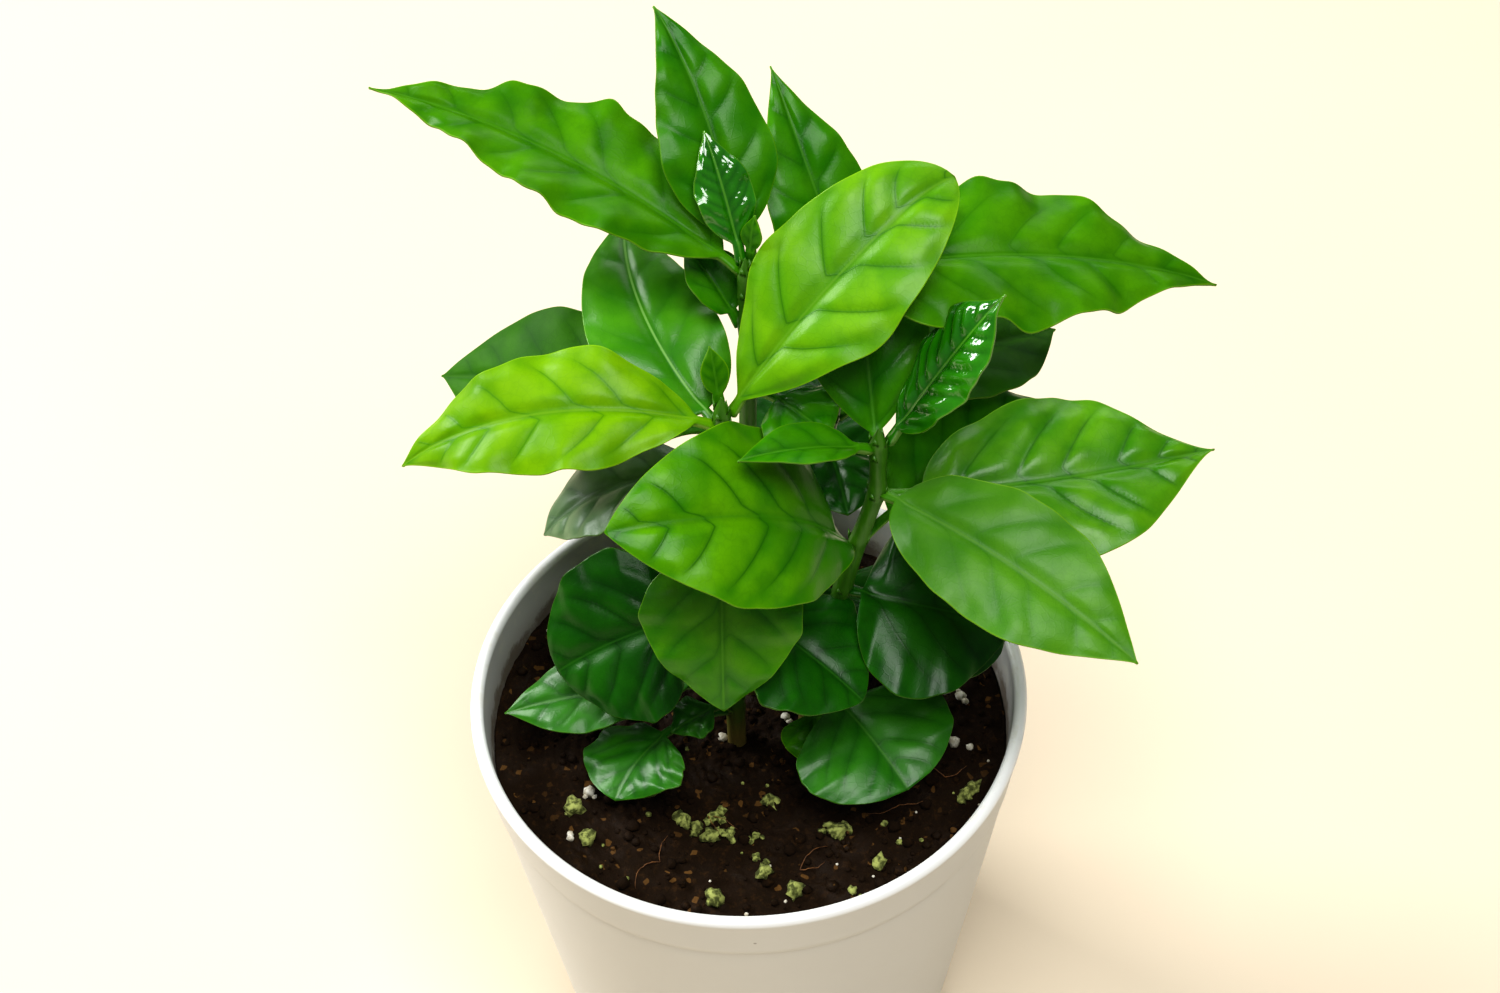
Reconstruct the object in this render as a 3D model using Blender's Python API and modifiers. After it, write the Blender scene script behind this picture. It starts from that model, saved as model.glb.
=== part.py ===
"""A young coffee plant together with its white nursery pot.

The pot, the soil, four stems and every leaf are closed solids in objects of their own.
The origin is the centre of the pot's base, +Z is up and the front of the plant looks towards -Y.
"""

from math import cos, pi, radians, sin, sqrt, tau

import bmesh
import bpy
from mathutils import Matrix, Vector, noise

MM = 0.001

# Driving dimensions, in metres
GAP = 0.3 * MM
POT_HEIGHT = 95 * MM
RIM_RADIUS = 52.5 * MM
RIM_WIDTH = 2.5 * MM
COLLAR_HEIGHT = 12.5 * MM
COLLAR_STEP = 0.6 * MM
COLLAR_TAPER = 1.6 * MM
BASE_RADIUS = 38.8 * MM
WALL = 1.25 * MM
FLOOR = 1.6 * MM
BASE_ROUNDING = 1.8 * MM
CORNER = 1.0 * MM
DRAIN_HOLES = 8
DRAIN_RADIUS = 3.0 * MM
DRAIN_CIRCLE = 25.0 * MM
SOIL_DEPTH_UNDER_RIM = 11.0 * MM
SOIL_RELIEF = 1.3 * MM
STEM_HOLE_DEPTH = 11.3 * MM

# Smoothness: steps round a turned piece, rings across the soil, sides of a hole, and for a leaf the length
# of blade between two sections, in millimetres, the fewest sections and the strips across it
POT_STEPS = 60
SOIL_STEPS = 48
SOIL_RINGS = 8
HOLE_SIDES = 16
SECTION_SPACING = 5.6
FEWEST_SECTIONS = 6
COLUMNS = 4

# Each stem's axis from its foot to its tip: x, y, z and the radius there, all in millimetres.
STEMS = {
    "stem_left": [
        (-2.5, -3, 73, 1.9),
        (-2.5, -3, 100, 1.8),
        (-3.5, -1, 136, 1.6),
        (-2.5, 2, 171, 1.4),
        (-2.5, 2, 174, 0.9),
    ],
    "stem_right": [
        (11.3, 1, 73, 2.0),
        (11.3, 1, 86, 2.0),
        (14, 1, 105, 1.8),
        (20.5, 0, 137, 1.7),
        (24, 0, 151, 1.6),
        (24, 0, 163, 1.5),
        (24, 0, 167, 0.8),
    ],
    "stem_tall": [
        (1, 9.3, 73, 2.0),
        (1, 9.3, 86, 2.0),
        (0.5, 11, 120, 1.8),
        (2, 15, 158, 1.6),
        (2.4, 19, 186, 1.4),
        (2.4, 19, 190, 0.8),
    ],
    "stem_back": [
        (8, 12.5, 73, 2.0),
        (8, 12.5, 86, 2.0),
        (9, 15, 118, 1.8),
        (17, 22, 148, 1.6),
        (22.5, 26, 172, 1.3),
        (22.8, 26, 176, 0.8),
    ],
}

# What a leaf has unless its own line says otherwise. Lengths are in millimetres and angles in degrees.
# heading is the way the midrib runs halfway along, anticlockwise from +X, and sweep how far it turns.
# rise is the midrib's slope halfway along, and droop how far the slope falls from stalk to tip.
# hook is a last bend at the tip.
# roll lifts the left margin, fold lifts both margins, and curl turns them down again.
# wave is the height of the margins' waves, and waves how many there are along the blade.
# belly says where the blade is widest, point and blunt how it narrows to the tip and to the stalk.
# sections is the number of sections along the blade, for a leaf that needs its own.
TYPICAL = {
    "stalk": 6,
    "sweep": 0,
    "droop": 30,
    "hook": 0,
    "roll": 0,
    "fold": 8,
    "curl": 0.12,
    "wave": 0.6,
    "waves": 3,
    "belly": 0.45,
    "point": 1.25,
    "blunt": 0.7,
    "sections": None,
}

# One line for each leaf: its stem, the height of its node and its own measures.
LEAVES = {
    "leaf_top_left": dict(
        stem="stem_tall", z=187, heading=152, sweep=12, rise=11, droop=25, length=73, width=27,
        fold=18, wave=1.3, waves=4.5, belly=0.35, point=1.3, blunt=0.85, sections=16,
    ),
    "leaf_top_back": dict(
        stem="stem_tall", z=185, heading=112, sweep=22, rise=42, length=48, width=20, belly=0.35, point=1.2,
    ),
    "leaf_young_tall": dict(stem="stem_tall", z=188, heading=113, rise=52, length=23, width=10.5, stalk=3),
    "leaf_bud_tall": dict(stem="stem_tall", z=188, heading=60, rise=78, length=9, width=4, stalk=2),
    "leaf_small_back": dict(
        stem="stem_tall", z=175, heading=140, rise=26, length=16, width=9, stalk=2, fold=25, belly=0.5,
    ),
    "leaf_top_right": dict(
        stem="stem_tall", z=182, heading=6, rise=-8, droop=46, length=84, width=31, roll=8, wave=1.4,
        waves=4.5, belly=0.5, point=1.5, sections=17,
    ),
    "leaf_back_upright": dict(
        stem="stem_back", z=170, heading=115, sweep=-10, rise=44, length=44, width=20, belly=0.35, point=1.4,
    ),
    "leaf_bright_upper": dict(
        stem="stem_left", z=170, heading=33, sweep=12, rise=33, droop=42, hook=30, length=57, width=27,
        roll=18, stalk=1.5, belly=0.5, point=0.65, blunt=1.1, sections=12,
    ),
    "leaf_bright_left": dict(
        stem="stem_left", z=168, heading=178, sweep=-8, rise=-11, droop=75, length=59, width=23, roll=-20,
        wave=1.2, point=1.2, blunt=0.5, sections=12,
    ),
    "leaf_pale_rib": dict(
        stem="stem_left", z=167, heading=110, sweep=-45, rise=10, length=46, width=22, roll=-6, belly=0.4,
        point=0.75, blunt=0.45,
    ),
    "leaf_bud_left": dict(stem="stem_left", z=171, heading=115, rise=60, length=10, width=5.5, stalk=1.5),
    "leaf_shaded_middle": dict(
        stem="stem_tall", z=163, heading=-48, rise=4, droop=36, length=19, width=17,
    ),
    "leaf_front_low": dict(
        stem="stem_left", z=148, heading=-93, rise=-56, droop=55, length=37, width=29, belly=0.35,
        point=1.1, blunt=0.5,
    ),
    "leaf_dark_left": dict(
        stem="stem_left", z=121, heading=184, rise=-24, droop=35, length=33, width=33, roll=-40, belly=0.4,
        point=0.6, blunt=0.5,
    ),
    "leaf_glossy_low": dict(
        stem="stem_left", z=101, heading=181, rise=-8, length=42, width=16, roll=-10, belly=0.6, point=1.3,
        blunt=0.75,
    ),
    "leaf_low_left": dict(
        stem="stem_left", z=94, heading=-138, sweep=52, rise=-5, length=29, width=24, roll=18, stalk=13,
        belly=0.5, blunt=0.5, point=0.8,
    ),
    "leaf_glossy_young": dict(
        stem="stem_right", z=164, heading=10, rise=58, droop=10, length=36, width=14, roll=20, stalk=3,
        belly=0.6, point=1.6, blunt=0.5,
    ),
    "leaf_young_small": dict(
        stem="stem_right", z=163, heading=200, rise=16, length=25, width=10.5, stalk=2, wave=0.15,
    ),
    "leaf_upright_right": dict(
        stem="stem_right", z=160, heading=96, rise=40, length=39, width=24, stalk=2, belly=0.6, blunt=0.9,
    ),
    "leaf_right": dict(
        stem="stem_right", z=150, heading=10, sweep=20, rise=-3, droop=8, length=60, width=33, roll=12,
        belly=0.5, point=1.5, blunt=0.5, wave=0.8,
    ),
    "leaf_lower_right": dict(
        stem="stem_right", z=151, heading=-37, rise=-12, length=53, width=25, roll=18, stalk=2, belly=0.5,
        point=1.15, blunt=0.45,
    ),
    "leaf_front": dict(
        stem="stem_right", z=138, heading=-155, sweep=-34, rise=30, droop=70, length=57, width=33, stalk=2,
        roll=-33, belly=0.5, point=0.9, blunt=0.8, sections=12,
    ),
    "leaf_back_right": dict(stem="stem_right", z=138, heading=42, rise=-8, length=54, width=28, roll=15),
    "leaf_back_left": dict(stem="stem_tall", z=148, heading=152, rise=-10, length=64, width=31, roll=-25),
    "leaf_grey_left": dict(
        stem="stem_tall", z=138, heading=172, sweep=40, rise=-28, droop=50, length=44, width=20, belly=0.6,
        point=1.1, blunt=0.8,
    ),
    "leaf_inner": dict(
        stem="stem_back", z=143, heading=-80, rise=-4, length=17, width=16, stalk=2, point=0.8,
    ),
    "leaf_dark_right": dict(
        stem="stem_right", z=124, heading=-4, sweep=30, rise=-17, length=31, width=35, roll=26,
        stalk=1.5, belly=0.4, point=1.0, blunt=0.45,
    ),
    "leaf_far_right": dict(stem="stem_back", z=146, heading=30, rise=-6, length=49, width=24, belly=0.6),
    "leaf_back_high": dict(stem="stem_back", z=160, heading=70, rise=0, length=46, width=24),
    "leaf_back_mid": dict(stem="stem_back", z=126, heading=80, rise=-5, length=45, width=26),
    "leaf_back_low": dict(stem="stem_tall", z=110, heading=118, rise=-8, length=46, width=26),
    "leaf_dark_centre": dict(
        stem="stem_left", z=124, heading=-36, rise=-18, length=29, width=25, belly=0.4, point=0.8,
    ),
    "leaf_low_right_small": dict(
        stem="stem_right", z=98, heading=-95, rise=-22, length=17, width=12.5, point=1.2, blunt=0.9,
    ),
    "leaf_low_right": dict(
        stem="stem_right", z=97, heading=-58, rise=-4, length=28, width=32, roll=6, belly=0.5, point=0.5,
        blunt=0.55,
    ),
    "leaf_low_back_right": dict(
        stem="stem_back", z=109, heading=-16, sweep=15, rise=-8, length=40, width=29, belly=0.6, point=0.6,
    ),
    "leaf_low_centre": dict(stem="stem_left", z=97, heading=-150, rise=-6, length=12, width=10, stalk=3),
    "leaf_low_back": dict(stem="stem_tall", z=96, heading=100, rise=-5, length=30, width=26),
}

# How thick a leaf is, in millimetres: at its margin, and along its midrib from the tip to the stalk.
MARGIN_THICKNESS = 0.6
MIDRIB_THICKNESS_AT_TIP = 0.6
MIDRIB_THICKNESS_AT_STALK = 1.5
STALK_HALF_WIDTH = 0.8
STALK_GAP = 0.35
STALK_LEAN = 0.3
TIP_HALF_WIDTH = 0.35
# The blade takes its roll and its fold over this share of its length, so that the stalk stays straight.
TWIST_IN = 0.12
MIDRIB_STEPS = 60

BRIGHT_LEAVES = {
    "leaf_bright_upper",
    "leaf_bright_left",
    "leaf_lower_right",
    "leaf_front",
    "leaf_upright_right",
    "leaf_right",
}
YOUNG_LEAVES = {"leaf_young_tall", "leaf_bud_tall", "leaf_bud_left", "leaf_glossy_young", "leaf_young_small"}
MIDDLE_LEAVES = {
    "leaf_top_left",
    "leaf_top_right",
    "leaf_top_back",
    "leaf_back_upright",
    "leaf_pale_rib",
    "leaf_back_right",
    "leaf_far_right",
    "leaf_small_back",
    "leaf_back_left",
}

# Colours as a screen shows them, from 0 to 1, and roughness
FINISHES = {
    "pot_plastic": ((0.87, 0.87, 0.85), 0.42),
    "soil_peat": ((0.13, 0.10, 0.07), 0.95),
    "stem_green": ((0.33, 0.42, 0.16), 0.50),
    "leaf_dark": ((0.05, 0.27, 0.04), 0.30),
    "leaf_middle": ((0.16, 0.42, 0.06), 0.34),
    "leaf_bright": ((0.34, 0.56, 0.07), 0.38),
    "leaf_young": ((0.10, 0.38, 0.05), 0.22),
}


def clear_scene():
    for obj in list(bpy.data.objects):
        bpy.data.objects.remove(obj, do_unlink=True)


def new_collection(name):
    collection = bpy.data.collections.new(name)
    bpy.context.scene.collection.children.link(collection)
    return collection


def linear(share):
    """A screen's colour value as the light that it stands for."""
    return share / 12.92 if share <= 0.04045 else ((share + 0.055) / 1.055) ** 2.4


def finish(name):
    """The material of that name, made when it is first asked for."""
    if name in bpy.data.materials:
        return bpy.data.materials[name]
    colour, roughness = FINISHES[name]
    material = bpy.data.materials.new(name)
    material.use_nodes = True
    shader = material.node_tree.nodes["Principled BSDF"]
    shader.inputs["Base Color"].default_value = (*[linear(share) for share in colour], 1.0)
    shader.inputs["Roughness"].default_value = roughness
    shader.inputs["Metallic"].default_value = 0.0
    material.diffuse_color = shader.inputs["Base Color"].default_value
    return material


def new_object(name, data, collection, finish_name=None, parent=None, location=(0, 0, 0)):
    obj = bpy.data.objects.new(name, data)
    collection.objects.link(obj)
    obj.location = location
    if parent:
        obj.parent = parent
        obj.location = Vector(location) - parent.location
    if finish_name:
        data.materials.append(finish(finish_name))
    return obj


def turned(name, profile, steps, collection, finish_name, parent=None):
    """Turns a profile of (radius, height) points round the Z axis."""
    mesh = bpy.data.meshes.new(name)
    edges = [(k, k + 1) for k in range(len(profile) - 1)]
    mesh.from_pydata([(radius, 0, height) for radius, height in profile], edges, [])
    obj = new_object(name, mesh, collection, finish_name, parent)
    screw = obj.modifiers.new("Turn", "SCREW")
    screw.steps = steps
    screw.render_steps = steps
    screw.use_merge_vertices = True
    screw.merge_threshold = 0.00005
    screw.use_smooth_shade = True
    return obj


def arc(centre, radius, start, end, steps):
    """Points (radius, height) on an arc, with its angles in degrees from the outward way."""
    angles = [radians(start + (end - start) * k / steps) for k in range(steps + 1)]
    return [(centre[0] + radius * cos(a), centre[1] + radius * sin(a)) for a in angles]


def hole_cutter(name, holes, collection):
    """One object of upright cylinders, each given as (x, y, low end, high end, radius)."""
    shape = bmesh.new()
    for x, y, low, high, radius in holes:
        place = Matrix.Translation((x, y, (low + high) / 2))
        bmesh.ops.create_cone(
            shape,
            cap_ends=True,
            segments=HOLE_SIDES,
            radius1=radius,
            radius2=radius,
            depth=high - low,
            matrix=place,
        )
    mesh = bpy.data.meshes.new(name)
    shape.to_mesh(mesh)
    shape.free()
    cutter = new_object(name, mesh, collection)
    cutter.hide_render = True
    cutter.display_type = "WIRE"
    return cutter


def cut(obj, cutter):
    boolean = obj.modifiers.new("Cut", "BOOLEAN")
    boolean.operation = "DIFFERENCE"
    boolean.solver = "EXACT"
    boolean.object = cutter


def outer_wall_radius(height):
    """The outside of the tapered wall, from its base up to the step under the collar."""
    top = POT_HEIGHT - COLLAR_HEIGHT
    top_radius = RIM_RADIUS - COLLAR_TAPER - COLLAR_STEP
    return BASE_RADIUS + (top_radius - BASE_RADIUS) * height / top


def inner_wall_radius(height):
    return outer_wall_radius(height) - WALL


def make_pot(parts, cutters):
    """A thin shell: floor, tapered wall, a small step out to the collar, and a rounded rim on top."""
    half_rim = RIM_WIDTH / 2
    rim_centre = (RIM_RADIUS - half_rim, POT_HEIGHT - half_rim)
    collar_top = POT_HEIGHT - RIM_WIDTH
    collar_foot = POT_HEIGHT - COLLAR_HEIGHT
    base_centre = (outer_wall_radius(BASE_ROUNDING) - BASE_ROUNDING, BASE_ROUNDING)
    inside = [
        (0, FLOOR),
        (inner_wall_radius(FLOOR) - CORNER, FLOOR),
        (inner_wall_radius(FLOOR + CORNER), FLOOR + CORNER),
        (inner_wall_radius(collar_foot), collar_foot),
        (RIM_RADIUS - RIM_WIDTH, collar_top - CORNER),
    ]
    rim = arc(rim_centre, half_rim, 180, 0, 6)
    outside = [
        (RIM_RADIUS - GAP, collar_top),
        (RIM_RADIUS - COLLAR_TAPER, collar_foot + COLLAR_STEP),
        (outer_wall_radius(collar_foot), collar_foot),
    ]
    base = arc(base_centre, BASE_ROUNDING, 0, -90, 2)
    profile = inside + rim + outside + base + [(0, 0)]
    pot = turned("pot", profile, POT_STEPS, parts, "pot_plastic")
    holes = []
    for k in range(DRAIN_HOLES):
        turn = tau * k / DRAIN_HOLES
        holes.append((DRAIN_CIRCLE * cos(turn), DRAIN_CIRCLE * sin(turn), -FLOOR, 2 * FLOOR, DRAIN_RADIUS))
    cut(pot, hole_cutter("drain_hole_cutter", holes, cutters))
    return pot


def soil_height(x, y):
    """The soil's surface: a little lower here and there than its highest level, never higher."""
    coarse = noise.noise(Vector((x, y, 0)) / (11 * MM))
    fine = noise.noise(Vector((x, y, 0.05)) / (5 * MM))
    dip = 0.5 + 0.35 * coarse + 0.25 * fine
    return POT_HEIGHT - SOIL_DEPTH_UNDER_RIM - SOIL_RELIEF * min(1.0, max(0.0, dip))


def make_soil(parts, cutters, pot):
    """A plug from the pot's floor up to the uneven top, with a plain hole for each stem."""
    top = POT_HEIGHT - SOIL_DEPTH_UNDER_RIM
    foot = FLOOR + GAP
    edge = inner_wall_radius(top - SOIL_RELIEF) - GAP
    surface = [(edge * k / SOIL_RINGS, top) for k in range(SOIL_RINGS + 1)]
    sides = [
        (inner_wall_radius(foot + CORNER) - GAP, foot + CORNER),
        (inner_wall_radius(foot) - GAP - CORNER, foot),
        (0, foot),
    ]
    turned_soil = turned("soil_blank", surface + sides, SOIL_STEPS, parts, "soil_peat")
    graph = bpy.context.evaluated_depsgraph_get()
    mesh = bpy.data.meshes.new_from_object(turned_soil.evaluated_get(graph))
    mesh.name = "soil"
    bpy.data.objects.remove(turned_soil, do_unlink=True)
    for vertex in mesh.vertices:
        if vertex.co.z > top - GAP:
            vertex.co.z = soil_height(vertex.co.x, vertex.co.y)
    soil = new_object("soil", mesh, parts, parent=pot)
    holes = []
    for points in STEMS.values():
        x, y, foot_height, radius = [value * MM for value in points[0]]
        holes.append((x, y, foot_height - GAP, foot_height + STEM_HOLE_DEPTH + SOIL_RELIEF, radius + GAP))
    cut(soil, hole_cutter("stem_hole_cutter", holes, cutters))
    return soil


def make_stem(name, points, parts, pot):
    """A tube that thins towards the shoot's tip: a curve with a bevel of 1 mm times each point's radius."""
    curve = bpy.data.curves.new(name, "CURVE")
    curve.dimensions = "3D"
    curve.bevel_depth = 1 * MM
    curve.bevel_resolution = 3
    curve.use_fill_caps = True
    spline = curve.splines.new("POLY")
    spline.points.add(len(points) - 1)
    foot = Vector(points[0][:3]) * MM
    for point, (x, y, z, radius) in zip(spline.points, points):
        point.co = (*(Vector((x, y, z)) * MM - foot), 1.0)
        point.radius = radius
    return new_object(name, curve, parts, "stem_green", pot, foot)


def on_stem(name, height):
    """The point of a stem's axis at a height, and its radius there, in millimetres."""
    points = STEMS[name]
    for low, high in zip(points, points[1:]):
        if height <= high[2] or high is points[-1]:
            share = (height - low[2]) / (high[2] - low[2])
            x, y, z, radius = [a + (b - a) * share for a, b in zip(low, high)]
            return Vector((x, y, z)), radius


def half_width_share(along, leaf):
    """How wide the blade is at a share of its length, from 0 at the stalk to 1 at the tip."""
    belly = leaf["belly"]
    if along < belly:
        return max(0.0, 1 - ((belly - along) / belly) ** 2) ** leaf["blunt"]
    return max(0.0, 1 - ((along - belly) / (1 - belly)) ** 1.8) ** leaf["point"]


def heading_and_slope(share, leaf):
    heading = radians(leaf["heading"]) + radians(leaf["sweep"]) * (share - 0.5)
    hook = radians(leaf["hook"]) * max(0.0, share - 0.8) / 0.2
    slope = radians(leaf["rise"]) + radians(leaf["droop"]) * (0.5 - share) - hook
    return heading, slope


def midrib_points(leaf):
    """The midrib from the stem's surface to the leaf's tip, in even short steps."""
    axis, stem_radius = on_stem(leaf["stem"], leaf["z"])
    heading, slope = heading_and_slope(0, leaf)
    # A stalk that points down leans its lower edge in towards the stem, and starts further out for it.
    lean = max(-MIDRIB_THICKNESS_AT_STALK * sin(slope), STALK_LEAN * sin(slope))
    points = [axis + Vector((cos(heading), sin(heading), 0)) * (stem_radius + STALK_GAP + lean)]
    for k in range(MIDRIB_STEPS):
        heading, slope = heading_and_slope(k / MIDRIB_STEPS, leaf)
        way = Vector((cos(slope) * cos(heading), cos(slope) * sin(heading), sin(slope)))
        points.append(points[-1] + way * leaf["length"] / MIDRIB_STEPS)
    return points


def leaf_sections(leaf):
    """Rows of points across the leaf, for its upper and its lower face, in millimetres."""
    midrib = midrib_points(leaf)
    stalk_share = leaf["stalk"] / leaf["length"]
    blade_length = leaf["length"] - leaf["stalk"]
    count = leaf["sections"] or max(FEWEST_SECTIONS, round(blade_length / SECTION_SPACING))
    blade_shares = [stalk_share + (1 - stalk_share) * k / count for k in range(1, count + 1)]
    upper, lower = [], []
    for share in [0, stalk_share / 2, stalk_share, *blade_shares]:
        step = min(int(share * MIDRIB_STEPS), MIDRIB_STEPS - 1)
        middle = midrib[step].lerp(midrib[step + 1], share * MIDRIB_STEPS - step)
        heading, slope = heading_and_slope(share, leaf)
        along = max(0.0, (share - stalk_share) / (1 - stalk_share))
        into_blade = min(1.0, along / TWIST_IN)
        roll = radians(leaf["roll"]) * into_blade
        fold = radians(leaf["fold"]) * into_blade
        level = Vector((-sin(heading), cos(heading), 0))
        upright = Vector((-sin(slope) * cos(heading), -sin(slope) * sin(heading), cos(slope)))
        across = level * cos(roll) + upright * sin(roll)
        up = upright * cos(roll) - level * sin(roll)
        least = TIP_HALF_WIDTH if along > 0.5 else STALK_HALF_WIDTH
        half_width = max(leaf["width"] / 2 * half_width_share(along, leaf), least)
        gain = (MIDRIB_THICKNESS_AT_STALK - MIDRIB_THICKNESS_AT_TIP) * (1 - share)
        middle_thickness = MIDRIB_THICKNESS_AT_TIP + gain
        upper_row, lower_row = [], []
        for column in range(COLUMNS + 1):
            side = 2 * column / COLUMNS - 1
            out = abs(side)
            phase = 0.6 if side > 0 else 2.4
            fade = sin(pi * along) ** 0.6 if 0 < along < 1 else 0
            wave = leaf["wave"] * out**1.5 * sin(tau * leaf["waves"] * along + phase) * fade
            lift = half_width * out * (sin(fold) - leaf["curl"] * out * into_blade) + wave
            point = middle + across * (half_width * side * cos(fold)) + up * lift
            if along > 0:
                thickness = MARGIN_THICKNESS + (middle_thickness - MARGIN_THICKNESS) * (1 - out)
            else:
                thickness = MIDRIB_THICKNESS_AT_STALK * sqrt(1 - 0.85 * out**2)
            upper_row.append(point)
            lower_row.append(point - up * thickness)
        upper.append(upper_row)
        lower.append(lower_row)
    return upper, lower


def loft(name, upper, lower, origin):
    """One closed mesh between two grids of points, its two faces split into triangles alike."""
    shape = bmesh.new()
    tops = [[shape.verts.new((point - origin) * MM) for point in row] for row in upper]
    bottoms = [[shape.verts.new((point - origin) * MM) for point in row] for row in lower]
    last_row, last_column = len(tops) - 1, len(tops[0]) - 1
    for i in range(last_row):
        for j in range(last_column):
            for grid in (tops, bottoms):
                near_left, near_right = grid[i][j], grid[i][j + 1]
                far_left, far_right = grid[i + 1][j], grid[i + 1][j + 1]
                shape.faces.new((near_left, far_left, far_right))
                shape.faces.new((near_left, far_right, near_right))
    rim = [(i, 0) for i in range(last_row)]
    rim += [(last_row, j) for j in range(last_column)]
    rim += [(i, last_column) for i in range(last_row, 0, -1)]
    rim += [(0, j) for j in range(last_column, 0, -1)]
    for (i, j), (next_i, next_j) in zip(rim, rim[1:] + rim[:1]):
        shape.faces.new((tops[i][j], tops[next_i][next_j], bottoms[next_i][next_j]))
        shape.faces.new((tops[i][j], bottoms[next_i][next_j], bottoms[i][j]))
    bmesh.ops.recalc_face_normals(shape, faces=shape.faces)
    mesh = bpy.data.meshes.new(name)
    shape.to_mesh(mesh)
    shape.free()
    mesh.shade_smooth()
    mesh.set_sharp_from_angle(angle=radians(60))
    return mesh


def leaf_finish(name):
    if name in BRIGHT_LEAVES:
        return "leaf_bright"
    if name in YOUNG_LEAVES:
        return "leaf_young"
    if name in MIDDLE_LEAVES:
        return "leaf_middle"
    return "leaf_dark"


def make_leaf(name, own_values, parts, stems):
    """A leaf as its own object, with its origin where its stalk meets the stem."""
    leaf = {**TYPICAL, **own_values}
    upper, lower = leaf_sections(leaf)
    origin = midrib_points(leaf)[0]
    mesh = loft(name, upper, lower, origin)
    return new_object(name, mesh, parts, leaf_finish(name), stems[leaf["stem"]], origin * MM)


def main():
    clear_scene()
    parts = new_collection("coffee_plant")
    cutters = new_collection("cutters")
    pot = make_pot(parts, cutters)
    make_soil(parts, cutters, pot)
    stems = {name: make_stem(name, points, parts, pot) for name, points in STEMS.items()}
    for name, own_values in LEAVES.items():
        make_leaf(name, own_values, parts, stems)
    bpy.context.view_layer.update()


main()
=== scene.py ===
# %% [markdown]
# # A young coffee plant in a white nursery pot
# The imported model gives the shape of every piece. This lesson dresses each one: it models the veins and
# waves of the leaves, the knots of the stems, the crumbs of the soil and the rolled rim of the pot, and
# paints them with nodes.

import math
import random

import bmesh
import bpy
import numpy as np
from mathutils import Matrix, Vector, noise


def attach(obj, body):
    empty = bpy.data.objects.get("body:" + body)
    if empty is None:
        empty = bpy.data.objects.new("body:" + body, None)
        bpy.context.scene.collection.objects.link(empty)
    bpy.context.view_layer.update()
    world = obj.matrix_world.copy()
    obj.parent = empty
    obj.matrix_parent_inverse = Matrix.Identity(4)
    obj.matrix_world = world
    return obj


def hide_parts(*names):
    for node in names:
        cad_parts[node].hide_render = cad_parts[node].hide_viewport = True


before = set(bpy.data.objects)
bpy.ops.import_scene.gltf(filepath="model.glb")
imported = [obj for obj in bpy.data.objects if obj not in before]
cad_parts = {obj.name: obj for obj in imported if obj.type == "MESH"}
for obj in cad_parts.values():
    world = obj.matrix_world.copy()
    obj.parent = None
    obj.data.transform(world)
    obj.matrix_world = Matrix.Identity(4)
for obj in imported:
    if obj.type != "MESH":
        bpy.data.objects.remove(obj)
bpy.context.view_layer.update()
MM = 0.001

# %% [markdown]
# ## Camera
# The photograph looks steeply down on the plant with a slight roll. A camera object turned about X by 90
# degrees looks along +Y, so the pitch under the horizon is taken off that, and the roll is a last turn
# about its own axis.

# %% Camera
CAMERA_PLACE = Vector((1.7, -342, 546)) * MM
CAMERA_PITCH = math.radians(49.15)
CAMERA_ROLL = math.radians(-2.16)
CAMERA_LENS = 72

camera = bpy.data.objects.new("camera", bpy.data.cameras.new("camera"))
bpy.context.scene.collection.objects.link(camera)
camera.data.lens = CAMERA_LENS
camera.data.clip_start = 0.01
tilt = Matrix.Rotation(math.pi / 2 - CAMERA_PITCH, 4, "X") @ Matrix.Rotation(CAMERA_ROLL, 4, "Z")
camera.matrix_world = Matrix.Translation(CAMERA_PLACE) @ tilt
bpy.context.scene.camera = camera
print("camera distance to the rim:", round((CAMERA_PLACE - Vector((0, 0, 0.095))).length, 3), "m")

# %% [markdown]
# ## Shader expressions
# A node tree is easier to read as arithmetic. Value wraps one output socket, and each Python operator on it
# adds the Math node that does the same, also with a plain number on the left. Tree makes every other kind
# of node with one method: settings such as an operation are set first, then the sockets get numbers or
# links.

# %% Shader expressions
def math_node(operation, reflected=False):
    """A method for one of Python's operators. The reflected form has its own value on the right."""

    def method(self, other):
        return self.math(operation, other, self) if reflected else self.math(operation, self, other)

    return method


class Value:
    """A node's output, which Python's operators work on."""

    __add__, __radd__ = math_node("ADD"), math_node("ADD", reflected=True)
    __sub__, __rsub__ = math_node("SUBTRACT"), math_node("SUBTRACT", reflected=True)
    __mul__, __rmul__ = math_node("MULTIPLY"), math_node("MULTIPLY", reflected=True)
    __pow__ = math_node("POWER")
    __gt__ = math_node("GREATER_THAN")

    def __init__(self, tree, socket):
        self.tree = tree
        self.socket = socket

    def math(self, operation, *values):
        return self.tree.node("ShaderNodeMath", {"operation": operation}, dict(enumerate(values)))

    def __abs__(self):
        return self.math("ABSOLUTE", self)

    def fraction(self):
        return self.math("FRACT", self)

    def step(self, start, end, low=0.0, high=1.0):
        """Goes smoothly from low to high while the value goes from start to end."""
        settings = {"interpolation_type": "SMOOTHSTEP"}
        return self.tree.node("ShaderNodeMapRange", settings, {0: self, 1: start, 2: end, 3: low, 4: high})


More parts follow.
